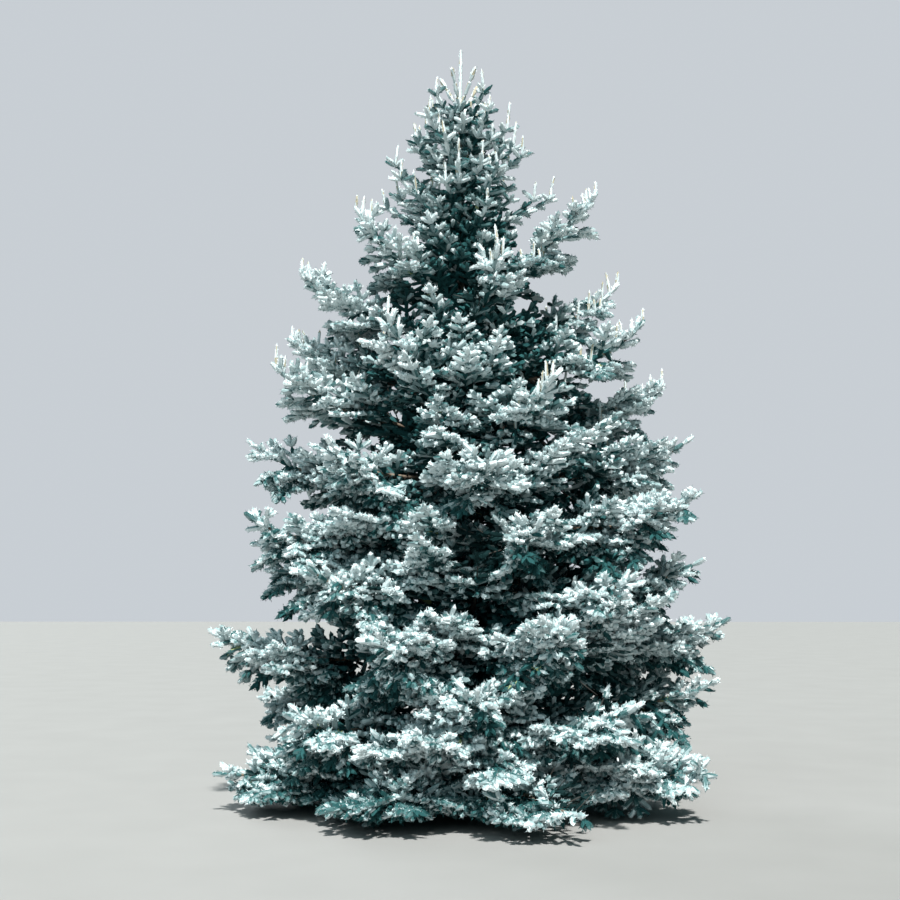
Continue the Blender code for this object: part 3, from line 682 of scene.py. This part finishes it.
def grow_mass(mass, shoots, twigs):
    """The stem's own shoots, then every side branch of the rule with its twigs."""
    rng = random.Random(MASS_SEED + mass.seed)
    low = 1 - (mass.tier - 1) / 9
    tip = mass.line[3]
    upper = mass.tier >= CANDLE_TIERS
    habit = Habit(
        year=YEAR,
        rise=0.05 - 0.06 * low,
        raised=RAISED_CHANCE,
        hanging=HANGING_CHANCE + 0.14 * low,
        tilt=(-0.30, 0.24) if upper else (-0.48, 0.10),
        flat=0.55 if upper else 0.9,
        spread=0.9 if upper else 1.0,
        candles=0.20 if upper else 0,
        candle_out=CANDLE_OUT * math.hypot(tip.x, tip.y),
        reach=math.hypot(tip.x, tip.y),
        top=tip.z + (MOUND_ROOM if mass.tier == 1 else TOP_ROOM))

    def grow(share, aside, heading, length, age_and_shade=0):
        start = stem_point(mass, share) + aside
        grow_twig(start, heading, length, rng, shoots, twigs, habit, age_and_shade=age_and_shade)

    first = len(shoots.rows)
    count = max(3, round(mass.fan_length / YEAR))
    for i in range(count):
        near, far = i / count, (i + 1) / count
        age = count - 1 - i
        if age < OLDEST_CLAD:
            start, end = stem_point(mass, near), stem_point(mass, far)
            shoots.add(start, end, age, deal_colour(rng, age, end - start), 1.05)
    changed_hand, hand_share = HAND_SHARES.get(mass.name, (0, 1))
    for i, (share, hand, direction, length) in enumerate(side_branches(mass)):
        length *= hand_share if hand == changed_hand else 1
        grow(share, ON_STEM, direction, length)
        if i % UPRIGHT_EVERY == 1:
            raised = (direction + UP * UPRIGHT_RISE).normalized()
            reach = UPRIGHT_LENGTH * rng.uniform(*UPRIGHT_UNEVEN)
            grow(min(1, share + UPRIGHT_SHIFT), ON_STEM, raised, reach)
        # Between two side branches: one that stands up or hangs, and is shorter
        share = min(EXTRA_LAST, share + EXTRA_SHIFT)
        forward, side, above = stem_frame(mass, share)
        spread = math.radians(rng.uniform(*EXTRA_SPREAD))
        tilt = math.radians(rng.uniform(*EXTRA_RAISED) if i % 2 else -rng.uniform(*EXTRA_HUNG))
        flat = forward * math.cos(spread) - side * (hand * math.sin(spread))
        direction = flat * math.cos(tilt) + above * math.sin(tilt)
        grow(share, ON_STEM, direction, min(EXTRA_LONGEST, length * rng.uniform(*EXTRA_SHARE)))
    if mass.tier <= CURTAIN_TIERS:
        curtain = CURTAIN_TWIGS + (CURTAIN_MORE if mass.tier == 2 else 0)
        for i in range(curtain):
            share = CURTAIN_FROM + CURTAIN_RUN * (i + rng.random()) / curtain
            forward, side, above = stem_frame(mass, share)
            aside = side * rng.uniform(-CURTAIN_ASIDE, CURTAIN_ASIDE) * (CURTAIN_END - share)
            heading = forward * rng.uniform(*CURTAIN_FORWARD)
            heading += side * rng.uniform(-CURTAIN_SIDEWAYS, CURTAIN_SIDEWAYS)
            heading -= UP * rng.uniform(*CURTAIN_DOWN)
            room = (stem_point(mass, share) + aside).z - LOWEST_NEEDLE
            reach = min(CURTAIN_LONG * rng.uniform(*CURTAIN_UNEVEN), room)
            if reach > SHORTEST_SHOOT:
                grow(share, aside, heading.normalized(), reach, CURTAIN_SHADE_YEARS)
    if mass.tier == 1:
        for i in range(MOUND_TWIGS):
            share = MOUND_FROM + MOUND_RUN * (i + rng.random()) / MOUND_TWIGS
            forward, side, above = stem_frame(mass, share)
            aside = side * rng.uniform(-MOUND_ASIDE, MOUND_ASIDE) * (MOUND_START + share)
            heading = forward * rng.uniform(*MOUND_FORWARD)
            heading += side * rng.uniform(-MOUND_SIDEWAYS, MOUND_SIDEWAYS)
            heading += UP * rng.uniform(*MOUND_UP)
            grow(share, aside, heading.normalized(), rng.uniform(MOUND_SHORT, MOUND_LONG))
    # The outer end spreads like a hand
    for i in range(TIP_TWIGS):
        share = END_START + END_RUN * (i + rng.random()) / TIP_TWIGS
        forward, side, above = stem_frame(mass, share)
        spread = math.radians(rng.uniform(*END_SPREAD)) * (1 if i % 2 else -1)
        tilt = math.radians(rng.uniform(*END_TILT))
        flat = forward * math.cos(spread) + side * math.sin(spread)
        direction = flat * math.cos(tilt) + above * math.sin(tilt)
        grow(share, ON_STEM, direction, rng.uniform(*END_LENGTHS) * (1.25 - share * 0.5))
        if upper and i % 2:
            add_candle(stem_point(mass, share), rng, shoots)
    shade_under(mass, shoots, first)


def outward(turn, rise):
    """A direction from its azimuth and its rise, in radians."""
    flat = math.cos(rise)
    return Vector((math.cos(turn) * flat, math.sin(turn) * flat, math.sin(rise)))


def by_height(height, table):
    return float(np.interp(height, *zip(*table)))


def grow_inner(shoots, twigs):
    """The small branches that stand on the trunk between the boughs."""
    rng = random.Random(INNER_SEED)
    count = round((INNER_HIGHEST - INNER_LOWEST) / INNER_SPACING)
    for i in range(count):
        share = i / (count - 1)
        height = INNER_LOWEST + (INNER_HIGHEST - INNER_LOWEST) * share
        turn = i * GOLDEN_TURN + rng.uniform(-0.4, 0.4)
        jitter = rng.uniform(-INNER_JITTER, INNER_JITTER)
        direction = outward(turn, math.radians(by_height(height, INNER_RISES) + jitter))
        length = by_height(height, INNER_LENGTHS) * rng.uniform(*INNER_UNEVEN)
        start = trunk_axis(height) + direction * trunk_radius(height) * ROOT_DEPTH
        fine = height > INNER_HIGH
        habit = INNER_HABIT._replace(year=YEAR if fine else INNER_YEAR)
        grow_twig(start, direction, length, rng, shoots, twigs, habit, age_and_shade=0 if fine else 1)
        if not fine:
            broad = len(shoots.rows)
    shoots.thicken(INNER_THICK, broad)


def grow_gap_boughs(shoots, twigs):
    rng = random.Random(GAP_SEED)
    for azimuth, reach, low, high in GAP_BOUGHS:
        turn = math.radians(azimuth)
        start = trunk_axis(low)
        run = Vector((math.cos(turn) * reach, math.sin(turn) * reach, high)) - start
        heading = run.normalized()
        grow_twig(start, heading, run.length, rng, shoots, twigs, GAP_HABIT, GAP_ORDER)


def add_star(middle, heading, rng, shoots):
    """New shoots that spread almost level round the end of a branch."""
    first = rng.uniform(0, math.tau)
    for i in range(STAR_SHOOTS):
        turn = first + math.tau * i / STAR_SHOOTS + rng.uniform(-0.3, 0.3)
        spoke = Vector((math.cos(turn), math.sin(turn), rng.uniform(0.0, 0.45))) + heading * 0.45
        start = middle - heading * rng.uniform(0, 0.03)
        end = start + spoke.normalized() * rng.uniform(*STAR_LENGTHS)
        shoots.add(start, end, 0, deal_colour(rng, 0, UP), STAR_THICK)


def grow_top(shoots, twigs, wood):
    """The stem above the trunk, the leader, the whorls and what stands between them."""
    rng = random.Random(TOP_SEED)
    points, radii = [], []
    for i in range(TOP_STEM_STEPS + 1):
        run = TREE_HEIGHT - STEM_SHORT - TRUNK_TOP + STEM_OVERLAP
        points.append(trunk_axis(TRUNK_TOP - STEM_OVERLAP + run * i / TOP_STEM_STEPS))
        thick = (1 - i / TOP_STEM_STEPS) ** BOUGH_TAPER
        radii.append(TOP_STEM_RADIUS * thick + TOP_STEM_TIP)
    add_tube(wood, points, radii, TOP_STEM_SIDES)

    def grow_branch(start, heading, length, habit, order=None):
        order = order or (3 if start.z > SHORT_TOP else 2)
        end = grow_twig(start, heading, length, rng, shoots, twigs, habit, order)
        add_star(end, heading, rng, shoots)
        return end

    for i in range(TOP_STEM_SHOOTS):
        low = TRUNK_TOP + (WHORL_TOP - TRUNK_TOP) * i / TOP_STEM_SHOOTS
        high = TRUNK_TOP + (WHORL_TOP - TRUNK_TOP) * (i + 1) / TOP_STEM_SHOOTS
        shoots.add(trunk_axis(low), trunk_axis(high), 4, DEEP, 0.8)
    # The leader, slim and sparse, over its whorl of buds
    for i in range(LEADER_SHOOTS):
        low = WHORL_TOP + (LEADER_TOP - WHORL_TOP) * (i - LEADER_OVERLAP) / LEADER_SHOOTS
        high = WHORL_TOP + (LEADER_TOP - WHORL_TOP) * (i + 1) / LEADER_SHOOTS
        shoots.add(trunk_axis(low), trunk_axis(high), 0, CANDLE, 1.0 - LEADER_THINNER * i)
    for i in range(LEADER_WHORL):
        turn = math.tau * i / LEADER_WHORL + rng.uniform(-0.2, 0.2)
        run = Vector((math.cos(turn), math.sin(turn), rng.uniform(0.0, 0.35))).normalized()
        run *= rng.uniform(*LEADER_WHORL_LENGTHS)
        start = trunk_axis(WHORL_TOP + rng.uniform(-0.02, 0.04))
        shoots.add(start, start + run, 0, deal_colour(rng, 0, UP), 1.0)
    for whorl in TOP_WHORLS:
        for number in range(whorl.branches):
            turn = math.radians(whorl.phase + 360 * number / whorl.branches)
            start = trunk_axis(whorl.height + WHORL_STAGGER * number)
            run = Vector((math.cos(turn) * whorl.reach, math.sin(turn) * whorl.reach, whorl.rise))
            if whorl.height > CANDLE_WHORL:
                for i in range(3):
                    shoots.add(start + run * (i / 3), start + run * ((i + 1) / 3), 0, CANDLE, 1.0)
                continue
            end = grow_branch(start, run.normalized(), run.length * whorl.run, TOP_HABIT)
            add_candle(end, rng, shoots)
    # Short branches between the whorls, then those that carry the photo's candles
    for i in range(BETWEEN):
        height = BETWEEN_LOWEST + (BETWEEN_HIGHEST - BETWEEN_LOWEST) * (i + 0.5) / BETWEEN
        turn = i * GOLDEN_TURN + 1
        heading = outward(turn, math.radians(BETWEEN_RISE + rng.uniform(*BETWEEN_JITTER)))
        length = by_height(height, BETWEEN_LENGTHS) * rng.uniform(*BETWEEN_UNEVEN)
        end = grow_branch(trunk_axis(height), heading, length, TOP_HABIT)
        if i % 3 == 0:
            add_candle(end, rng, shoots)
    for foot, length in TOP_CANDLES:
        foot = Vector(foot)
        start = trunk_axis(foot.z - CANDLE_BRANCH_RISE * math.hypot(foot.x, foot.y))
        run = foot - start
        end = grow_branch(start, run.normalized(), run.length, TOP_HABIT._replace(candles=0), 3)
        lean = Vector((foot.x * 0.3, foot.y * 0.3, 1)).normalized()
        shoots.add(end, end + lean * length * 0.55, 0, CANDLE, CANDLE_THICK * 1.2)
        shoots.add(end + lean * length * 0.5, end + lean * length, 0, CANDLE, CANDLE_THICK)
    shoots.thicken(TOP_THICK)
    # Painted shade: some of the top's shoots, taken at random, are two steps darker
    for i, row in enumerate(shoots.rows):
        if row[COLOUR] < TEAL and rng.random() < TOP_DARKER:
            shoots.darken(i, 2, DEEP)


# Needles
def unit(vectors):
    return vectors / np.maximum(np.linalg.norm(vectors, axis=1, keepdims=True), 1e-9)


def add_needles(soup, shoots):
    """All shoots, with more detail the further out in the crown they stand."""
    rows = np.array(shoots.rows, np.float64)
    middle = (rows[:, 0:3] + rows[:, 3:6]) / 2
    heights, radii = zip(*CROWN)
    out = np.hypot(middle[:, 0], middle[:, 1])
    front = np.maximum(0, -middle[:, 1] / np.maximum(out, 1e-6)) ** 2
    out /= np.interp(middle[:, 2], heights, radii) * (1 - FRONT_SHORTER * front)
    upper = np.interp(middle[:, 2], (OPEN_FROM, OPEN_TO), (0, OPEN_MOST))
    dim = np.random.default_rng([shoots.seed, 9]).random(len(rows))
    out += OPEN_LESS_DIM * upper
    chance = np.random.default_rng([shoots.seed, 10]).random(len(rows))
    kept = (out > THIN_WITHIN) | (chance > THINNED) | (middle[:, 2] > THIN_HIGHEST)
    for x, y, z, radius in HOLLOWS:
        inside = np.linalg.norm(middle - (x, y, z), axis=1) < radius
        # Painted shade: the shoots in a hollow are coloured near-black
        rows[inside, COLOUR] = DARK
        kept &= ~inside | (chance > HOLLOW_CLEARED)
    rows, middle, out, upper, dim = rows[kept], middle[kept], out[kept], upper[kept], dim[kept]
    # Painted shade inside the crown, partly also the darker colour of older needles
    for share, least, dimmed in DIM_INSIDE:
        darker = (out < share) & (dim < dimmed) & (rows[:, COLOUR] < least)
        rows[darker, COLOUR] = least
    out += OPEN_MORE_DETAIL * upper
    left = np.ones(len(rows), bool)
    for number, (least, oldest, *detail) in enumerate(DETAIL):
        chosen = left & (out >= least) & (rows[:, AGE] <= oldest)
        if number == 0:
            chosen &= (rows[:, COLOUR] < TEAL) | (rows[:, COLOUR] == CANDLE)
        left &= ~chosen
        if chosen.any():
            add_shoots(soup, rows[chosen], np.random.default_rng([shoots.seed, number]), *detail)


def add_shoots(soup, rows, rng, needles, needle_width, sides, core_rings):
    """The needles of shoots, each a slim pointed face, and the dense core that they stand out of."""
    start, end = rows[:, 0:3], rows[:, 3:6]
    age = np.minimum(rows[:, AGE].astype(int), len(CORE_RADII) - 1)
    colour, thick = rows[:, COLOUR].astype(np.int32), rows[:, THICKNESS]
    long = np.linalg.norm(end - start, axis=1)
    along = unit(end - start)
    reference = np.where(np.abs(along[:, 2:3]) < 0.95, np.array([[0, 0, 1.0]]), np.array([[1.0, 0, 0]]))
    across = unit(np.cross(along, reference))
    above = np.cross(across, along)
    count = np.round(needles * np.clip(long / YEAR, *COUNT_RANGE))
    count = np.maximum(1, count).astype(int)
    core = np.array(CORE_RADII)[age] * thick

    # The cores, each ring turned by half a side, so that their long faces lie askew as needles do
    shares, wide = np.array(core_rings[:-1]).T
    last_share = core_rings[-1][0]
    rings = []
    for i, (share, ring_width) in enumerate(zip(shares, wide)):
        turns = (np.arange(sides) + 0.5 * i) * math.tau / sides + rng.random((len(rows), 1)) * 0.5
        rim = across[:, None] * np.cos(turns)[:, :, None] + above[:, None] * np.sin(turns)[:, :, None]
        uneven = core[:, None] * ring_width
        uneven = uneven * (UNEVEN_LEAST + UNEVEN_MORE * rng.random((len(rows), sides)))
        rings.append((start + along * (long * share)[:, None])[:, None] + rim * uneven[:, :, None])
    tips = start + along * (long * last_share)[:, None]
    verts = np.concatenate([*rings, tips[:, None, :]], axis=1)
    faces = []
    for r in range(len(rings) - 1):
        for k in range(sides):
            a, b = r * sides + k, r * sides + (k + 1) % sides
            faces += [(a, b, a + sides), (b, b + sides, a + sides)]
    last = (len(rings) - 1) * sides
    for k in range(sides):
        faces.append((last + k, last + (k + 1) % sides, last + sides))
    faces = np.array(faces)
    verts[:, :, 2] = np.maximum(verts[:, :, 2], LOWEST_FACE)
    offsets = np.arange(len(rows)) * verts.shape[1]
    a, b, c = (verts[:, faces[:, i]] for i in range(3))
    normals = np.cross(b - a, c - a)
    slope = normals[:, :, 2] / np.maximum(np.linalg.norm(normals, axis=2), 1e-9)
    # Painted shade: core faces that look down, and some at the foot of a core, are made darker
    darker = SHADE_START + SHADE_CHANCE * rng.random(slope.shape) - SHADE_BY_SLOPE * slope
    darker[:, :2 * sides] += rng.random((len(rows), 2 * sides)) < BASE_SHADE
    darker = np.clip(np.floor(darker), 0, 3).astype(np.int32)
    own = colour[:, None]
    shade = np.where(own <= DEEP, np.minimum(own + darker, DEEP), own)
    for mixed, (hues, chances) in MIXED_CORES.items():
        shade = np.where(own == mixed, rng.choice(hues, size=shade.shape, p=chances), shade)
    soup.add(verts, faces[None] + offsets[:, None, None], shade.ravel())

    # The needles
    which = np.repeat(np.arange(len(rows)), count)
    order = np.arange(len(which)) - np.repeat(np.cumsum(count) - count, count)
    n = len(which)
    t = (order + rng.random(n)) / count[which]
    turn = order * GOLDEN_TURN + np.repeat(rng.random(len(rows)) * math.tau, count)
    turn = turn + rng.normal(0, TURN_JITTER, n)
    a, u, v = along[which], across[which], above[which]
    radial = u * np.cos(turn)[:, None] + v * np.sin(turn)[:, None]
    near_tip = np.clip((t - TIP_START) / (1 - TIP_START), 0, 1)
    lean = np.radians(NEEDLE_LEAN - TIP_LEAN * near_tip**TIP_CURVE + rng.normal(0, LEAN_JITTER, n))
    heading = a * np.cos(lean)[:, None] + radial * np.sin(lean)[:, None]
    heading[:, 2] += NEEDLE_RISE
    heading = unit(heading)
    size = NEEDLE_LENGTH * (UNEVEN_LEAST + UNEVEN_MORE * rng.random(n)) * thick[which]
    size = size * (0.80 + 0.20 * np.minimum(1, t / 0.2))
    root = start[which] + a * (long[which] * (0.02 + 0.95 * t))[:, None]
    root += radial * (core[which] * (0.86 - 0.30 * near_tip))[:, None]
    flat = unit(np.cross(heading, radial))
    top = np.cross(flat, heading)
    roll = rng.uniform(-NEEDLE_ROLL, NEEDLE_ROLL, n)[:, None]
    half_width = needle_width * 0.5 * (0.85 + 0.3 * rng.random(n))
    half = (flat * np.cos(roll) + top * np.sin(roll)) * half_width[:, None]
    verts = np.stack([root - half, root + half, root + heading * size[:, None]], axis=1)
    low = verts[:, :, 2].min(axis=1)
    verts[:, :, 2] += np.maximum(0, LOWEST_FACE - low)[:, None]
    # Some needles are a step darker at random; those that point down are a step darker again, as
    # painted shade
    darker = (rng.random(n) < MIXED_NEEDLES).astype(np.int32) + (radial[:, 2] < UNDERSIDE)
    own = colour[which]
    hue = np.where(own < DEEP, np.minimum(own + darker, DEEP), own)
    soup.add(verts, np.arange(n * 3), np.where(hue == CANDLE, SILVER, hue))


# Materials
def new_material(name):
    made = bpy.data.materials.new(name)
    made.use_nodes = True
    return made, made.node_tree.nodes, made.node_tree.links, made.node_tree.nodes["Principled BSDF"]


def add_node(nodes, kind, **values):
    """A node with values for its sockets, where an underscore in a name stands for a space."""
    made = nodes.new(kind)
    for name, value in values.items():
        made.inputs[name.replace("_", " ")].default_value = value
    return made


def needle_material(name, colour):
    made, nodes, links, shader = new_material(name)
    shader.inputs["Base Color"].default_value = (*colour, 1)
    shader.inputs["Roughness"].default_value = 0.65
    sheen = NEEDLE_SHEEN if max(colour) > DULL_BELOW else DULL_SHEEN
    shader.inputs["Specular IOR Level"].default_value = sheen
    return made


def bark_material(name, dark, light, scale, strength):
    """Grey-brown scaly bark: blotches, plates and fine cracks, with bump."""
    made, nodes, links, shader = new_material(name)
    place = nodes.new("ShaderNodeTexCoord")
    stretch = add_node(nodes, "ShaderNodeMapping", Scale=(1, 1, 0.45))
    links.new(place.outputs["Object"], stretch.inputs["Vector"])
    blotch = add_node(nodes, "ShaderNodeTexNoise", Scale=scale * 0.25, Detail=6)
    plates = add_node(nodes, "ShaderNodeTexVoronoi", Scale=scale)
    plates.feature = "DISTANCE_TO_EDGE"
    fine = add_node(nodes, "ShaderNodeTexNoise", Scale=scale * 4, Detail=5)
    for node in (blotch, plates, fine):
        links.new(stretch.outputs["Vector"], node.inputs["Vector"])
    ramp = nodes.new("ShaderNodeValToRGB")
    ramp.color_ramp.elements[0].position = 0.32
    ramp.color_ramp.elements[0].color = (*dark, 1)
    ramp.color_ramp.elements[1].position = 0.70
    ramp.color_ramp.elements[1].color = (*light, 1)
    links.new(blotch.outputs["Fac"], ramp.inputs["Fac"])
    cracks = add_node(
        nodes, "ShaderNodeMapRange", From_Min=0.0, From_Max=0.09, To_Min=0.45, To_Max=1.0)
    links.new(plates.outputs["Distance"], cracks.inputs["Value"])
    shade = nodes.new("ShaderNodeMix")
    shade.data_type = "RGBA"
    shade.blend_type = "MULTIPLY"
    shade.inputs["Factor"].default_value = 1.0
    links.new(ramp.outputs["Color"], shade.inputs["A"])
    links.new(cracks.outputs["Result"], shade.inputs["B"])
    links.new(shade.outputs["Result"], shader.inputs["Base Color"])
    heights = nodes.new("ShaderNodeMath")
    heights.operation = "MULTIPLY_ADD"
    links.new(fine.outputs["Fac"], heights.inputs[0])
    heights.inputs[1].default_value = 0.5
    links.new(cracks.outputs["Result"], heights.inputs[2])
    bump = add_node(nodes, "ShaderNodeBump", Strength=strength, Distance=0.004)
    links.new(heights.outputs["Value"], bump.inputs["Height"])
    links.new(bump.outputs["Normal"], shader.inputs["Normal"])
    shader.inputs["Roughness"].default_value = 0.88
    return made


# The wood
TRUNK_SIDES, TRUNK_RINGS = 64, 260
RING_CROWDING = 1.15  # over 1, rings stand closer near the ground
TRUNK_RELIEF_MOST = 0.09  # the radius above which the relief grows no deeper
PLATES_ROUND, PLATES_UP = 38, 17  # of bark, to a metre
PLATE_EDGE = 3.2
PLATE_DEPTH, SWELL_DEPTH, GRAIN_DEPTH = 0.055, 0.05, 0.02
SWELL_SCALE, GRAIN_SCALE = 0.35, 2.3
BOUGH_RELIEF = 1.6  # how much finer and deeper than the trunk's
BOUGH_STEP, BOUGH_FEWEST, BOUGH_SIDES = 0.05, 16, 8
BOUGH_END = 0.97
COLLAR_MORE, COLLAR_RUN = 0.55, 0.035
CROOKED_SCALE, CROOKED = 4.0, 0.006


def plate_relief(point):
    """How far bark stands out there: flakes, with cracks between them."""
    stretched = Vector((point.x * PLATES_ROUND, point.y * PLATES_ROUND, point.z * PLATES_UP))
    distances, _ = noise.voronoi(stretched)
    crack = min(1.0, (distances[1] - distances[0]) * PLATE_EDGE)
    swell = SWELL_DEPTH * noise.noise(stretched * SWELL_SCALE)
    return PLATE_DEPTH * crack + swell + GRAIN_DEPTH * noise.noise(stretched * GRAIN_SCALE)


def make_trunk(bark):
    sides, rings = TRUNK_SIDES, TRUNK_RINGS
    angles = [math.tau * k / sides for k in range(sides)]
    verts, faces = [], []
    for i in range(rings):
        height = TRUNK_TOP * (i / (rings - 1)) ** RING_CROWDING
        flare = math.exp(-height / FLARE_HEIGHT)
        middle = trunk_axis(height)
        for angle in angles:
            lobe = 1 + FLARE_LOBE_SHARE * flare * math.cos(FLARE_LOBES * angle)
            radius = (trunk_radius(height) + FLARE_RADIUS * flare) * lobe
            out = Vector((math.cos(angle), math.sin(angle), 0))
            place = middle + out * radius
            radius += (plate_relief(place) - 0.03) * min(radius, TRUNK_RELIEF_MOST)
            verts.append(tuple(middle + out * radius))
    for i in range(rings - 1):
        for k in range(sides):
            a, b = i * sides + k, i * sides + (k + 1) % sides
            faces += [(a, b, b + sides), (a, b + sides, a + sides)]
    foot, head = len(verts), len(verts) + 1
    verts += [tuple(trunk_axis(0)), tuple(trunk_axis(TRUNK_TOP))]
    top = (rings - 1) * sides
    for k in range(sides):
        faces += [(foot, (k + 1) % sides, k), (head, top + k, top + (k + 1) % sides)]
    soup = Soup()
    soup.add(verts, faces, 0)
    trunk = soup.make("trunk_bark", [bark], smooth=True)
    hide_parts("trunk")


def bough_relief(point):
    return BOUGH_RELIEF * plate_relief(point * BOUGH_RELIEF)


def add_bough(soup, mass):
    """A bough's whole wood, with a collar where it leaves the trunk."""
    steps = max(BOUGH_FEWEST, round(mass.fan_length / BOUGH_STEP))
    points = [bezier(mass.line, BOUGH_END * i / steps) for i in range(steps + 1)]
    radii = [wood_radius(mass, BOUGH_END * i / steps) for i in range(steps + 1)]
    for i, point in enumerate(points):
        collar = math.hypot(point.x, point.y) - trunk_radius(point.z)
        radii[i] *= 1 + COLLAR_MORE * math.exp(-max(0, collar) / COLLAR_RUN)
        if i > 1:
            shake = noise.noise_vector(point * CROOKED_SCALE + Vector((mass.seed, 0, 0)))
            points[i] = point + shake * (CROOKED * (1 - i / steps))
    add_tube(soup, points, radii, BOUGH_SIDES, bough_relief)


# Building
LOW_TIERS = 4  # whose twigs are one piece, and those of the rest another


def make_needles(name, shoots, replaced=()):
    soup = Soup()
    add_needles(soup, shoots)
    piece = soup.make(name, needle_materials)
    if replaced:
        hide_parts(*replaced)


needle_materials = [needle_material(name, colour) for name, colour in NEEDLE_COLOURS.items()]
trunk_bark = bark_material("bark_trunk", (0.10, 0.078, 0.062), (0.30, 0.25, 0.205), 26, 0.9)
bough_bark = bark_material("bark_boughs", (0.11, 0.080, 0.060), (0.31, 0.245, 0.18), 45, 0.6)
twig_bark = bark_material("bark_twigs", (0.030, 0.029, 0.026), (0.070, 0.064, 0.055), 90, 0.4)

make_trunk(trunk_bark)
masses = all_masses()

noise.seed_set(1)  # noise_vector has other offsets in each run without this
wood = Soup()
for mass in masses:
    add_bough(wood, mass)

twigs_low, twigs_high = Soup(), Soup()
for level in range(1, len(TIERS) + 1):
    shoots = Shoots(level)
    members = [mass for mass in masses if mass.tier == level]
    for mass in members:
        grow_mass(mass, shoots, twigs_low if level <= LOW_TIERS else twigs_high)
    make_needles(f"needles_tier_{level:02d}", shoots, [mass.name for mass in members])

shoots = Shoots(98)
grow_inner(shoots, twigs_high)
make_needles("needles_inner", shoots)

shoots = Shoots(97)
grow_gap_boughs(shoots, twigs_high)
make_needles("needles_gaps", shoots)

shoots = Shoots(99)
grow_top(shoots, twigs_high, wood)
make_needles("needles_top", shoots, ["foliage_top"])

boughs = wood.make("boughs_bark", [bough_bark], smooth=True)
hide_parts(*[mass.limb_name for mass in masses if mass.limb_name])
for name, soup in (("twigs_lower", twigs_low), ("twigs_upper", twigs_high)):
    piece = soup.make(name, [twig_bark], smooth=True)


# The stage
FLOOR_SIZE = 60  # from the middle to each side
FLOOR_HEIGHT = -0.001
FOCAL_LENGTH = 49.7
EYE = (0, -10, 1.6)
LOOK_UP, LOOK_LEFT = 6.56, 0.83  # degrees


def make_floor():
    mesh = bpy.data.meshes.new("floor")
    corners = [
        (x * FLOOR_SIZE, y * FLOOR_SIZE, FLOOR_HEIGHT)
        for x, y in ((-1, -1), (1, -1), (1, 1), (-1, 1))]
    mesh.from_pydata(corners, [], [(0, 1, 2, 3)])
    made = bpy.data.objects.new("floor", mesh)
    bpy.context.scene.collection.objects.link(made)
    material, nodes, links, shader = new_material("floor_pale")
    place = nodes.new("ShaderNodeTexCoord")
    grain = add_node(nodes, "ShaderNodeTexNoise", Scale=1.4)
    links.new(place.outputs["Object"], grain.inputs["Vector"])
    ramp = nodes.new("ShaderNodeValToRGB")
    ramp.color_ramp.elements[0].color = (0.225, 0.225, 0.22, 1)
    ramp.color_ramp.elements[1].color = (0.255, 0.255, 0.25, 1)
    links.new(grain.outputs["Fac"], ramp.inputs["Fac"])
    links.new(ramp.outputs["Color"], shader.inputs["Base Color"])
    shader.inputs["Roughness"].default_value = 0.9
    mesh.materials.append(material)


def add_sun(name, energy, width, colour, toward):
    """A far lamp in the given direction, as wide as the given angle in degrees."""
    light = bpy.data.lights.new(name, "SUN")
    light.energy = energy
    light.angle = math.radians(width)
    light.color = colour
    lamp = bpy.data.objects.new(name, light)
    lamp.rotation_euler = Vector(toward).to_track_quat("Z", "Y").to_euler()
    bpy.context.scene.collection.objects.link(lamp)


def make_light():
    add_sun("key", 7.6, 4, (1.0, 0.985, 0.95), (0.10, -0.72, 1.20))
    add_sun("back", 1.3, 30, (0.93, 0.97, 1.0), (-0.7, 0.9, 0.6))
    add_sun("front", 1.0, 60, (0.78, 0.95, 1.0), (-0.6, -0.9, 0.85))

    world = bpy.data.worlds.new("studio")
    bpy.context.scene.world = world
    world.use_nodes = True
    nodes, links = world.node_tree.nodes, world.node_tree.links
    nodes.clear()
    fill = add_node(nodes, "ShaderNodeBackground", Color=(0.44, 0.85, 0.95, 1), Strength=0.18)
    seen = add_node(nodes, "ShaderNodeBackground", Color=(0.58, 0.62, 0.66, 1), Strength=1.0)
    path = nodes.new("ShaderNodeLightPath")
    mix = nodes.new("ShaderNodeMixShader")
    out = nodes.new("ShaderNodeOutputWorld")
    links.new(path.outputs["Is Camera Ray"], mix.inputs["Fac"])
    links.new(fill.outputs["Background"], mix.inputs[1])
    links.new(seen.outputs["Background"], mix.inputs[2])
    links.new(mix.outputs["Shader"], out.inputs["Surface"])


def make_camera():
    data = bpy.data.cameras.new("camera")
    data.sensor_width = 36
    data.lens = FOCAL_LENGTH
    camera = bpy.data.objects.new("camera", data)
    camera.location = EYE
    camera.rotation_euler = (math.radians(90 + LOOK_UP), 0, math.radians(LOOK_LEFT))
    bpy.context.scene.collection.objects.link(camera)
    bpy.context.scene.camera = camera


make_floor()
make_light()
make_camera()
bpy.context.scene.view_settings.view_transform = "Standard"
